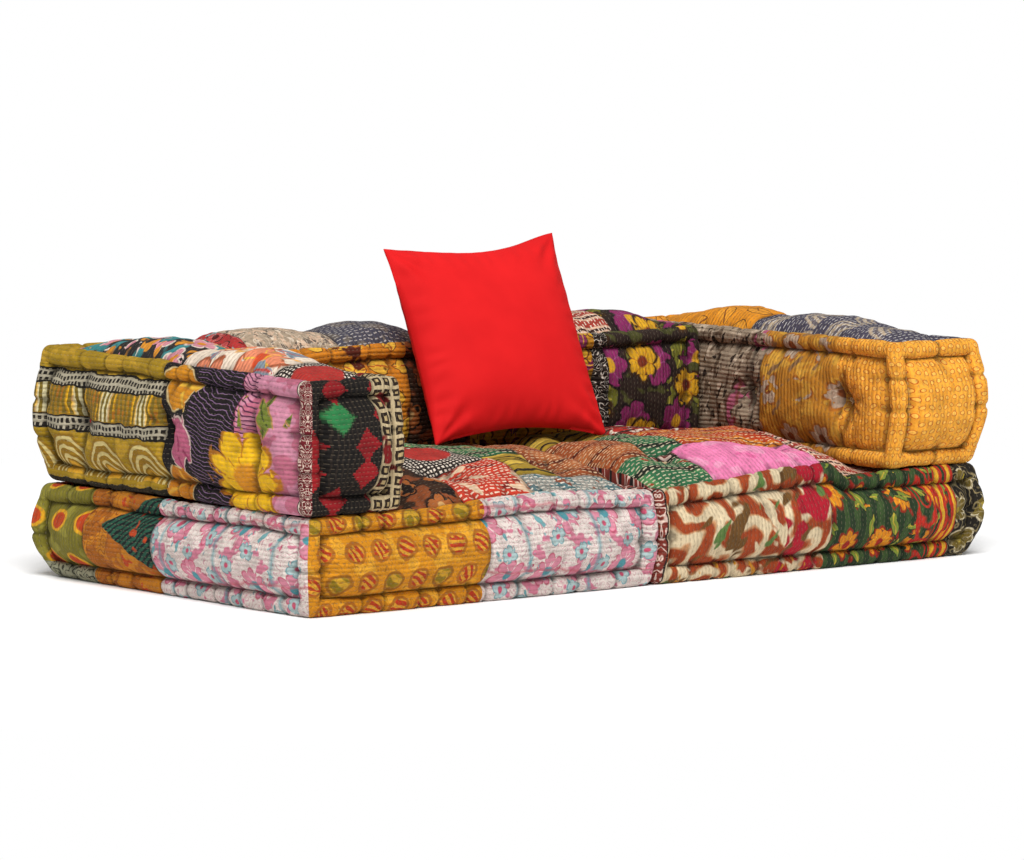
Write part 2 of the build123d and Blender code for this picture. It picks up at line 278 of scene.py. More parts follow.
class Cover:
    """One block's cover: its sizes, and the steps that bend a box mesh into it."""

    def __init__(self, name, seed):
        low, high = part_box(f"{name}_roll_edge")
        self.name = name
        self.seed = seed
        self.low = np.array(low)
        self.high = np.array(high)
        self.size = self.high - self.low
        self.kind = name.split("_")[0]
        self.side = -1 if name.endswith("left") else 1
        self.outer, self.inner = ("left", "right") if self.side < 0 else ("right", "left")
        self.cells = [2 * ROLL_CELLS + int(round((s - ROLL_PAIR) / CELL)) for s in self.size]
        self.pinches = [pinch_places(s, seed * 10 + axis) for axis, s in enumerate(self.size)]

    def plane(self, face):
        """Where the rolls' outer plane is on one side of the block."""
        axis, sign = FACES[face]
        return (self.high if sign > 0 else self.low)[axis]

    def tufts(self, face):
        """Tuft places on a face, as distances from the block's middle along the face's two axes."""
        rows_x, rows_y = ([share * self.size[axis] for share in ROW_SHARES] for axis in (0, 1))
        if self.kind == "seat" and face == "top":
            return [(x, y) for x in rows_x for y in rows_y if self.is_open(x, y)]
        if self.kind == "arm" and face in ("left", "right"):
            return [(y, 0.0) for y in rows_y]
        if self.kind == "back" and face in ("front", "back"):
            return [(0.0, 0.0)]
        return []

    def open_shares(self, x, y):
        """Where a point of a seat lies in its open part, from -1 to 1 both ways."""
        return (
            (x + self.side * ARM_WIDTH / 2) / ((self.size[0] - ARM_WIDTH) / 2),
            (y + BACK_DEPTH / 2) / ((self.size[1] - BACK_DEPTH) / 2),
        )

    def is_open(self, x, y):
        """Whether a place on a seat is free of the blocks that stand on it."""
        return all(abs(share) < 1 for share in self.open_shares(x, y))

    def bulge(self, face, along):
        """How far a side's middle stands outside the rolls."""
        free = np.full_like(along, FREE_BULGE)
        pressed = np.full_like(along, -PRESSED_IN)
        if self.kind == "back":
            return {"front": 0 * along + BACK_FRONT_BULGE, "back": free}.get(face, pressed)
        if face != self.inner:
            return free
        if self.kind == "seat":
            return pressed
        behind = BACK_DEPTH + PRESS_MARGIN
        share = (along + behind / 2) / (self.size[1] / 2 - behind / 2)
        return ARM_INNER_BULGE * window(share) - PRESSED_IN

    def panel(self, face, s, t, half_s, half_t):
        """Height of a panel over the rolls' outer plane at distances s and t from its middle."""
        share_s, share_t = s / half_s, t / half_t
        from_groove = np.minimum(half_s - np.abs(s), half_t - np.abs(t))
        if face == "bottom":
            return -GROOVE + GROOVE * flat_to_edge(share_s) * flat_to_edge(share_t)
        if face == "top":
            height = self.top_panel(s, t, share_s, share_t)
        else:
            reach = flat_to_edge(share_s) * pillow(share_t)
            height = -GROOVE + (GROOVE + self.bulge(face, s)) * reach
        pressed = self.pressed(face, s, t)
        deep, wide = TUFT_DIMPLE["top" if face == "top" else "side"]
        knot_deep, knot_wide = KNOT_DIMPLE
        fold_deep, fold_from, fold_wide = TUFT_FOLDS
        crease_deep, crease_wide = TUFT_CREASE
        for tuft_s, tuft_t in self.tufts(face):
            away = np.hypot(s - tuft_s, t - tuft_t)
            turn = np.arctan2(t - tuft_t, s - tuft_s)
            height -= (1 - 0.7 * pressed) * (deep * pull(away, wide) + knot_deep * pull(away, knot_wide))
            folds = 0.5 + 0.5 * np.cos(9 * turn + 3 * np.sin(turn + tuft_s * 40))
            height -= (1 - pressed) * fold_deep * folds * pull(away - fold_from, fold_wide)
            if face != "top":
                bent = s - tuft_s - CREASE_SWAY * np.sin(t * 60)
                height -= (1 - pressed) * crease_deep * (pull(bent, crease_wide) * flat_to_edge(share_t))
        return height + (1 - pressed) * self.puckers(face, s, t, half_s, half_t, from_groove)

    def top_panel(self, s, t, share_s, share_t):
        """The crowned top panel before its tufts."""
        reach = flat_to_edge(share_s) * flat_to_edge(share_t)
        height = -GROOVE + (GROOVE - TOP_UNDER_ROLL) * reach
        if self.kind == "seat":
            open_s, open_t = self.open_shares(s, t)
            # The stuffing stands full up to where the two seats meet, and against the blocks on it
            full_s = np.where(open_s * self.side < 0, window(open_s, 12), window(open_s, 6))
            full_t = np.where(open_t > 0, window(open_t, 9), window(open_t))
            crown = full_s * full_t
            return height + SEAT_CROWN * crown - COVERED_DROP * (1 - crown)
        along, across = (share_t, share_s) if self.kind == "arm" else (share_s, share_t)
        place = t if self.kind == "arm" else s
        rows = [share * self.size[1] for share in ROW_SHARES] if self.kind == "arm" else [0.0]
        valley = np.max([pull(place - row, VALLEY_WIDTH) for row in rows], axis=0)
        hump = window(across) * window(along, 8)
        return height + (UPPER_CROWN - VALLEY * valley) * hump

    def pressed(self, face, s, t):
        """1 where another block lies against the panel, and 0 where it is free."""
        if face == "bottom":
            return np.ones_like(s)
        if self.kind == "seat" and face == "top":
            open_s, open_t = self.open_shares(s, t)
            return 1 - window(open_s * 0.96, 16) * window(open_t * 0.96, 16)
        if face in ("top", "front", "back"):
            return np.zeros_like(s)
        if self.kind == "back":
            return np.ones_like(s)
        if face != self.inner:
            return np.zeros_like(s)
        if self.kind == "seat":
            return np.ones_like(s)
        return 1 / (1 + np.exp(-(s - (self.size[1] / 2 - BACK_DEPTH)) / PRESS_BLEND))

    def puckers(self, face, s, t, half_s, half_t, from_groove):
        """Short folds that run into a panel from the pinches of its rolls, and the filling's lumps."""
        axis = FACES[face][0]
        s_axis, t_axis = PLANE_AXES[axis]
        s_places = self.pinches[s_axis] - self.size[s_axis] / 2
        t_places = self.pinches[t_axis] - self.size[t_axis] / 2
        near_t = half_t - np.abs(t)
        near_s = half_s - np.abs(s)
        lean = 0.18 * near_t * np.sin(s * 31 + self.seed)
        folds = 0
        for along, places, near in ((s + lean, s_places, near_t), (t, t_places, near_s)):
            reach = np.exp(-near / FOLD_REACH) * np.minimum(1, near / FOLD_START)
            folds = folds + comb(along, places, FOLD_WIDTH) * reach
        points = np.stack([s, t, np.full_like(s, axis * 0.7 + 0.1)], axis=1)
        lumpy = sum(high * lumps(points, wide, self.seed + more) for high, wide, more in LUMPS)
        seam = self.seams(face, s + self.size[s_axis] / 2, t + self.size[t_axis] / 2)
        return lumpy * np.minimum(1, from_groove / LUMP_START) - FOLD_DEPTH * folds - SEAM_DEPTH * seam

    def seams(self, face, s, t):
        """1 on the seams between patches, which draw the panel in, from the block's low corner."""
        seam = np.zeros_like(s)
        for _, s0, s1, t0, t1 in PATCHES[self.name][face]:
            inside_s = (s > s0 - SEAM_END) & (s < s1 + SEAM_END)
            inside_t = (t > t0 - SEAM_END) & (t < t1 + SEAM_END)
            for along, places, inside in ((s, (s0, s1), inside_t), (t, (t0, t1), inside_s)):
                for place in places:
                    seam = np.maximum(seam, np.where(inside, pull(along - place, SEAM_WIDTH), 0.0))
        return seam

    def place(self, cube):
        """Positions of the cover's points from the cube's points, which lie on an even grid from -1 to 1."""
        index = np.rint((cube + 1) / 2 * np.array(self.cells)).astype(int)
        result = np.zeros_like(cube)
        done = np.zeros(len(cube), bool)
        for face in ("top", "bottom", "front", "back", "left", "right"):
            axis, sign = FACES[face]
            on_face = (index[:, axis] == (0 if sign < 0 else self.cells[axis])) & ~done
            result[on_face] = self.face_points(face, index[on_face])
            done |= on_face
        return result

    def face_points(self, face, index):
        """Positions of one face's points: a quarter turn of roll, its inner side, the groove, the panel."""
        axis, sign = FACES[face]
        plane_axes = PLANE_AXES[axis]
        outs, inners, spots, halves = [], [], [], []
        for a in plane_axes:
            from_end = np.minimum(index[:, a], self.cells[a] - index[:, a])
            end = np.where(index[:, a] * 2 < self.cells[a], -1.0, 1.0)
            out = np.clip((CREST_CELLS - from_end) / CREST_CELLS, 0, 1)
            inner = np.clip((from_end - CREST_CELLS) / (ROLL_CELLS - CREST_CELLS), 0, 1) * INNER_TURN
            half = self.size[a] / 2 - ROLL - ROLL * math.sin(INNER_TURN)
            spot = (from_end - ROLL_CELLS) / (self.cells[a] / 2 - ROLL_CELLS) * half - half
            outs.append(out * end)
            inners.append(inner)
            spots.append((np.clip(spot, -half, 0) * -end, from_end < ROLL_CELLS, end))
            halves.append(half)
        radius = np.full(len(index), ROLL)
        for k, a in enumerate(plane_axes):
            other = 1 - k
            along = self.along(index, plane_axes[other])
            in_roll = spots[k][1] & ~spots[other][1]
            run = self.size[plane_axes[other]]
            fade = np.clip((np.minimum(along, run - along) - PLAIN_END) / 0.02, 0, 1)
            pinch = comb(along, self.pinches[plane_axes[other]], PINCH_WIDTH)
            edge_key = 2.3 * axis + 0.7 * sign + 2.3 * a + 0.7 * spots[k][2]
            points = np.stack([along, 0 * along + 0.2, 0 * along + edge_key], axis=1)
            swell = SWELL_SHARE * lumps(points, SWELL_SIZE, self.seed + 9)
            radius = np.where(in_roll, ROLL * (FULL_SHARE - fade * (PINCH_SHARE * pinch - swell)), radius)
        length = np.sqrt(1 + outs[0] ** 2 + outs[1] ** 2)
        outer = (outs[0] != 0) | (outs[1] != 0)
        level = np.where(outer, 1 / length, np.maximum(np.cos(inners[0]), np.cos(inners[1])))
        height = -ROLL + radius * level
        both_in = ~(spots[0][1] | spots[1][1])
        panel = self.panel(face, spots[0][0], spots[1][0], halves[0], halves[1])
        height = np.where(both_in, panel, height)
        result = np.zeros((len(index), 3))
        middle = (self.low + self.high) / 2
        for k, a in enumerate(plane_axes):
            spot, in_roll, end = spots[k]
            centre = end * (self.size[a] / 2 - ROLL)
            bent = centre + radius * outs[k] / length - end * radius * np.sin(inners[k])
            result[:, a] = middle[a] + np.where(in_roll, bent, spot)
        result[:, axis] = self.plane(face) + sign * height
        return result

    def along(self, index, axis):
        """Distance of each point from the block's low end along one axis."""
        count, size = self.cells[axis], self.size[axis]
        from_end = np.minimum(index[..., axis], count - index[..., axis])
        edge = ROLL + ROLL * math.sin(INNER_TURN)
        inside = edge + (from_end - ROLL_CELLS) / (count / 2 - ROLL_CELLS) * (size / 2 - edge)
        depth = np.where(from_end < ROLL_CELLS, from_end / ROLL_CELLS * edge, inside)
        return np.where(index[..., axis] * 2 < count, depth, size - depth)

    def settle(self, points):
        """The block's soft wander: edges aren't ruled straight, free corners bow, and free edges rise."""
        moved = points.copy()
        share = (points - self.low) / self.size
        up = np.clip(share[:, 2], 0, 1)
        free = np.clip((points[:, 2] - HELD_HEIGHT) / FREED_OVER, 0, 1)
        for axis in range(3):
            moved[:, axis] += free * WANDER[axis] * lumps(points, WANDER_SIZE, self.seed * 3 + axis)
        bow = CORNER_BOW * window(2 * up - 1, 2)
        if self.kind == "seat":
            bow -= FOOT_TUCK * np.clip(1 - up / 0.3, 0, 1) ** 2
        for face in ("back",) if self.kind == "back" else (self.outer, "front", "back"):
            axis, sign = FACES[face]
            from_side = self.plane(face) - points[:, axis]
            near = np.clip(1 - np.abs(from_side) / BOW_REACH, 0, 1) ** 2
            other = share[:, 1 - axis]
            from_corner = np.minimum(other, 1 - other) * self.size[1 - axis]
            corner = 0.25 + 0.75 * pull(from_corner, BOW_WIDTH)
            moved[:, axis] += sign * bow * near * corner
        # The left blocks' back corner and the right blocks' front corner are packed fuller and stand out
        out_x, out_y = CORNER_OUT.get(self.name, (0, 0))
        if out_x:
            ends = np.where([out_x < 0, out_y < 0], share[:, :2], 1 - share[:, :2]) * self.size[:2]
            full = pull(np.hypot(ends[:, 0], ends[:, 1]), CORNER_REACH) * (up / 0.4).clip(0, 1) ** 0.7
            moved[:, 0] += out_x * full
            moved[:, 1] += out_y * full
        if self.name == "arm_left":
            moved[:, 2] += ARM_BACK_RISE * up * np.clip(share[:, 1], 0, 1) ** 2
        if self.kind == "seat":
            x = points[:, 0] - self.low[0]
            front = ease(np.clip(1.25 - (points[:, 1] - self.low[1]) / FRONT_REACH, 0, 1))
            start, peak, end, amount = FRONT_RISE[self.name]
            climb = np.where(x < peak, (x - start) / (peak - start), (end - x) / (end - peak))
            moved[:, 2] += amount * ease(np.clip(climb, 0, 1)) * front * up**2
            moved[:, 2] = np.maximum(moved[:, 2], 0)
        return moved

    def mesh(self):
        """The cover's mesh, with patch coordinates and a material for each patch."""
        made, cube = grid_box(f"{self.name}_cover", self.cells)
        points = self.settle(self.place(cube))
        bend(made, points)
        self.lay_patches(made, cube)
        mark_creases(made, points)
        return made

    def lay_patches(self, made, cube):
        """Gives each face of the mesh its patch's material and coordinates in metres along the cloth."""
        corner_of = np.zeros(len(made.loops), np.int32)
        made.loops.foreach_get("vertex_index", corner_of)
        quads = corner_of.reshape(-1, 4)
        index = (cube + 1) / 2 * np.array(self.cells)
        middle = index[quads].mean(axis=1)
        count = np.array(self.cells)
        from_low, from_high = middle, count - middle
        face_of = np.full(len(quads), "", dtype="<U8")
        for face, (axis, sign) in FACES.items():
            gap = from_high[:, axis] if sign > 0 else from_low[:, axis]
            face_of[gap < 1e-3] = face
        side_gaps = np.stack([from_low[:, 0], from_high[:, 0], from_low[:, 1], from_high[:, 1]], axis=1)
        nearest = np.array(["left", "right", "front", "back"])[side_gaps.argmin(axis=1)]
        level = np.isin(face_of, ("top", "bottom"))
        on_roll = level & (side_gaps.min(axis=1) < ROLL_CELLS)
        home = np.where(on_roll, nearest, face_of)
        real = np.stack([self.along(index, axis) for axis in range(3)], axis=1)
        coords = np.zeros((len(quads), 4, 2))
        slots = np.zeros(len(quads), np.int32)
        names = []
        for face, (axis, _) in FACES.items():
            mine = home == face
            if not mine.any():
                continue
            s_axis, t_axis = PLANE_AXES[axis]
            s = real[quads[mine]][:, :, s_axis]
            t = real[quads[mine]][:, :, t_axis]
            if axis != 2:
                deep = np.abs(real[quads[mine]][:, :, axis] - (0 if FACES[face][1] < 0 else self.size[axis]))
                lid = level[mine][:, None]
                up = middle[mine][:, 2][:, None] > count[2] / 2
                t = np.where(lid, np.where(up, self.size[2] + deep, -deep), t)
            s_mid, t_mid = s.mean(axis=1), t.mean(axis=1)
            patch_slot = np.zeros(mine.sum(), np.int32)
            shift = np.zeros((mine.sum(), 2))
            for print_name, s0, s1, t0, t1 in PATCHES[self.name][face]:
                inside = (s_mid >= s0) & (s_mid < s1) & (t_mid >= t0) & (t_mid < t1)
                if print_name not in names:
                    names.append(print_name)
                patch_slot[inside] = names.index(print_name)
                shift[inside] = (max(s0, 0), max(t0, 0))
            slots[mine] = patch_slot
            coords[mine, :, 0] = s - shift[:, 0][:, None]
            coords[mine, :, 1] = t - shift[:, 1][:, None]
        for print_name in names:
            made.materials.append(cloth(print_name))
        made.polygons.foreach_set("material_index", slots)
        layer = made.uv_layers.new(name="patch")
        layer.data.foreach_set("uv", coords.ravel().astype(np.float32))


# Materials: first a short way to write node sums, then the shared patterns, then the prints as a table
FULL_TURN = 6.28


class Value:
    """A socket of a shader's nodes, with the sums and products that make the next one."""

    def __init__(self, tree, socket):
        self.tree = tree
        self.socket = socket

    def to(self, kind, *inputs, **settings):
        """What one more node makes of this value."""
        return add(self.tree, kind, self, *inputs, **settings)

    def xy(self):
        """The first two parts of a place."""
        first = self.to("SeparateXYZ")
        return first, Value(self.tree, first.socket.node.outputs[1])

    def __add__(self, other):
        return self.to("Math:ADD", other)

    def __sub__(self, other):
        return self.to("Math:SUBTRACT", other)

    def __rsub__(self, other):
        return add(self.tree, "Math:SUBTRACT", other, self)

    def __mul__(self, other):
        return self.to("Math:MULTIPLY", other)

    def __truediv__(self, other):
        return self.to("Math:DIVIDE", other)

    def __rtruediv__(self, other):
        return add(self.tree, "Math:DIVIDE", other, self)

    def __abs__(self):
        return self.to("Math:ABSOLUTE")


def add(tree, kind, *inputs, out=0, **settings):
    """Adds one shader node. "Math:SINE" names a node and its operation. Values are linked, numbers set."""
    kind, _, operation = kind.partition(":")
    made = tree.nodes.new("ShaderNode" + kind)
    if operation:
        made.operation = operation
    named = {key: settings.pop(key) for key in list(settings) if key in made.inputs}
    numbered = settings.pop("at", {})
    for key, value in settings.items():
        setattr(made, key, value)
    for key, value in [*enumerate(inputs), *named.items(), *numbered.items()]:
        if isinstance(value, Value):
            tree.links.new(value.socket, made.inputs[key])
        else:
            made.inputs[key].default_value = value
    return Value(tree, made.outputs[out])


def mix(tree, share, under, over, **settings):
    """One colour laid over another by a share from 0 to 1."""
    return add(tree, "Mix", data_type="RGBA", at={0: share, 6: under, 7: over}, out=2, **settings)


def surface(tree, shader):
    """Links a shader to its material's output."""
    tree.links.new(shader.socket, tree.nodes.new("ShaderNodeOutputMaterial").inputs[0])


def new_material(name):
    """A material with an empty shader tree."""
    made = bpy.data.materials.new(name)
    made.use_nodes = True
    made.node_tree.nodes.clear()
    return made, made.node_tree


def use(place, kind, sizes):
    """The parts of one of the shared patterns, drawn at that place and in those sizes."""
    drawn = place.tree.nodes.new("ShaderNodeGroup")
    drawn.node_tree = PATTERNS[kind]
    place.tree.links.new(place.socket, drawn.inputs[0])
    for socket, value in zip(list(drawn.inputs)[1:], sizes):
        socket.default_value = value
    return {socket.name: Value(place.tree, socket) for socket in drawn.outputs}


def pattern(build, parts):
    """A node group made once from a function that builds its nodes from a place and sizes."""
    tree = bpy.data.node_groups.new(build.__name__, "ShaderNodeTree")
    tree.interface.new_socket(name="place", in_out="INPUT", socket_type="NodeSocketVector")
    for label in list(inspect.signature(build).parameters)[1:]:
        tree.interface.new_socket(name=label, in_out="INPUT", socket_type="NodeSocketFloat")
    for label in parts:
        tree.interface.new_socket(name=label, in_out="OUTPUT", socket_type="NodeSocketFloat")
    source = tree.nodes.new("NodeGroupInput")
    sink = tree.nodes.new("NodeGroupOutput")
    results = build(*[Value(tree, socket) for socket in source.outputs if socket.name])
    for value, socket in zip(results, sink.inputs):
        tree.links.new(value.socket, socket)
    return tree


def cells(place, size, stagger=0.5):
    """Place within a repeating cell, from -0.5 to 0.5, and a random number for the cell."""
    across = place.to("VectorMath:SCALE", Scale=1.0 / size)
    row = across.to("VectorMath:FLOOR").xy()[1]
    half = row.to("Math:FLOORED_MODULO", 2.0) * stagger
    shifted = across.to("VectorMath:ADD", half.to("CombineXYZ"))
    number = shifted.to("VectorMath:FLOOR")
    local = shifted.to("VectorMath:SUBTRACT", number).to("VectorMath:SUBTRACT", (0.5, 0.5, 0.0))
    return local, number.to("TexWhiteNoise")


def step(value, edge, soft=0.03):
    """1 where value is under edge, with a narrow soft border."""
    return ((edge - value) / soft).to("Math:ADD", 0.5, use_clamp=True)


def from_middle(value):
    """How far a value is from the middle between two whole numbers."""
    return abs(value.to("Math:FRACT") - 0.5)


def between(value, low, high):
    """1 where a value is over low and under high."""
    return value.to("Math:GREATER_THAN", low).to("Math:MINIMUM", value.to("Math:LESS_THAN", high))


def flowers(place, size, reach, petals, share):
    """Round flowers with petals, an outline and a centre, turned at random, in a share of the cells."""
    local, chance = cells(place, size)
    away = local.to("VectorMath:MULTIPLY", (1.0, 1.0, 0.0)).to("VectorMath:LENGTH", out=1)
    x, y = local.xy()
    turn = y.to("Math:ARCTAN2", x) + chance * FULL_TURN
    wave = (turn * (petals * 0.5)).to("Math:COSINE")
    lobe = abs(wave).to("Math:POWER", 0.6)
    rim = reach * lobe.to("Math:MULTIPLY_ADD", 0.45, 0.55)
    there = chance.to("Math:LESS_THAN", share)
    petal = step(away, rim) * there
    outline = step(abs(away - rim), 0.03) * there
    return petal, outline, step(away, reach * 0.3) * there, step(lobe, 0.35, 0.2) * petal


def rings(place, size, reach, lines):
    """Discs, the ring round each, and stripes drawn across each disc."""
    local, chance = cells(place, size)
    away = local.to("VectorMath:MULTIPLY", (1.0, 1.12, 0.0)).to("VectorMath:LENGTH", out=1)
    disc = step(away, reach * 0.74)
    y = local.to("VectorRotate", Angle=chance * 1.2).xy()[1]
    wave = (y * (lines * FULL_TURN)).to("Math:SINE")
    return disc, step(away, reach), step(wave, 0.1, 0.5) * disc


def stripes(place, pitch, duty, sway, swing):
    """Stripes across v that may wave along u."""
    x, y = place.xy()
    wave = (x * FULL_TURN / swing).to("Math:SINE")
    rough = place.to("TexNoise", Scale=18.0, Detail=1.0)
    bend = wave + rough.to("Math:MULTIPLY_ADD", 4.0, -2.0)
    return (step(from_middle((y + bend * sway) / pitch), duty * 0.5, 0.06),)


def blotches(place, size, level, stretch):
    """Uneven brush marks: the high parts of stretched noise."""
    scaled = place.to("VectorMath:MULTIPLY", stretch.to("CombineXYZ", 1.0, 1.0))
    cloud = scaled.to("TexNoise", Scale=1.0 / size, Detail=2.0, Roughness=0.6)
    return (step(level, cloud),)


def scribbles(place, size, width):
    """Thin wandering lines along the contours of noise."""
    cloud = place.to("TexNoise", Scale=1.0 / size, Detail=1.0)
    return (step(from_middle(cloud * 9.0), width, 0.12),)


def leaves(place, size, width, share):
    """Pointed leaves with a rib and a rim, turned at random, in a share of the cells."""
    local, chance = cells(place, size)
    x, y = local.to("VectorRotate", Angle=chance * FULL_TURN).xy()
    x = abs(x)
    edge = width * (1.0 - y * y * 5.2)
    there = chance.to("Math:LESS_THAN", share)
    leaf = step(x, edge) * there
    return leaf, step(x, 0.022) * leaf, step(x, edge + 0.035) * there - leaf


def diamonds(place, size, reach, steps):
    """Diamonds with stepped edges."""
    count = steps.to("CombineXYZ", steps, 1.0)
    stair = cells(place, size)[0].to("VectorMath:MULTIPLY_ADD", count, (0.5, 0.5, 0.0)).to("VectorMath:FLOOR")
    x, y = stair.to("VectorMath:DIVIDE", count).to("VectorMath:ABSOLUTE").xy()
    return (step(x + y, reach),)


def arches(place, size, rows, duty):
    """Rows of pointed arches drawn as nested bands."""
    x, y = cells(place, size)[0].xy()
    low = (y + 0.5) * 0.72
    away = (x * x + low * low).to("Math:SQRT")
    inside = step(away, 0.48)
    return step((away * rows).to("Math:FRACT"), duty, 0.1) * inside, step(away, 0.17), inside


def nets(place, size, width):
    """Crossing lines in two directions, and a spot in each cell."""
    x, y = cells(place, size, 0.0)[0].to("VectorMath:ABSOLUTE").xy()
    edge = 0.5 - width
    line = (x - edge).to("Math:MAXIMUM", y - edge)
    return line.to("Math:GREATER_THAN", 0.0), step(x.to("Math:MAXIMUM", y), 0.16)


def dashes(place, row, period, width, duty):
    """Rows of short straight stitches along u, and how the cloth dips at each row."""
    x, y = place.xy()
    line = (y + place.to("TexNoise", Scale=7.0, Detail=0.0) * 0.009) / row
    number = line.to("Math:FLOOR")
    chance = number.to("TexWhiteNoise", noise_dimensions="1D", at={1: number})
    near = from_middle(line)
    dash = (x / period + chance).to("Math:FRACT").to("Math:LESS_THAN", duty)
    return step(near * row, width * 0.5, 0.0005) * dash, 1.0 - near * 2.0


def band(place, u0, u1, v0, v1):
    """1 inside a rectangle of the patch."""
    x, y = place.xy()
    return (between(x, u0, u1).to("Math:MINIMUM", between(y, v0, v1)),)


def wedge(place, tip, middle, slope, pitch):
    """A triangle that points along u to its tip, and stripes that run across it."""
    x, y = place.xy()
    inside = step(abs(y - middle) * slope + x, tip, 0.004)
    slant = (x + y * 1.4) / pitch
    return inside, step(from_middle(slant), 0.22, 0.1) * inside


PATTERNS = {
    build.__name__: pattern(build, parts)
    for build, *parts in (
        (flowers, "petal", "outline", "core", "ray"),
        (rings, "disc", "ring", "stripes"),
        (stripes, "line"),
        (blotches, "mark"),
        (scribbles, "line"),
        (leaves, "leaf", "rib", "rim"),
        (diamonds, "outer"),
        (arches, "bands", "core", "inside"),
        (nets, "line", "spot"),
        (dashes, "thread", "dip"),
        (wedge, "inside", "line"),
        (band, "inside"),
    )
}


def across(v0, v1):
    """A rectangle over the whole width of a patch."""
    return (-1.0, 1.0, v0, v1)


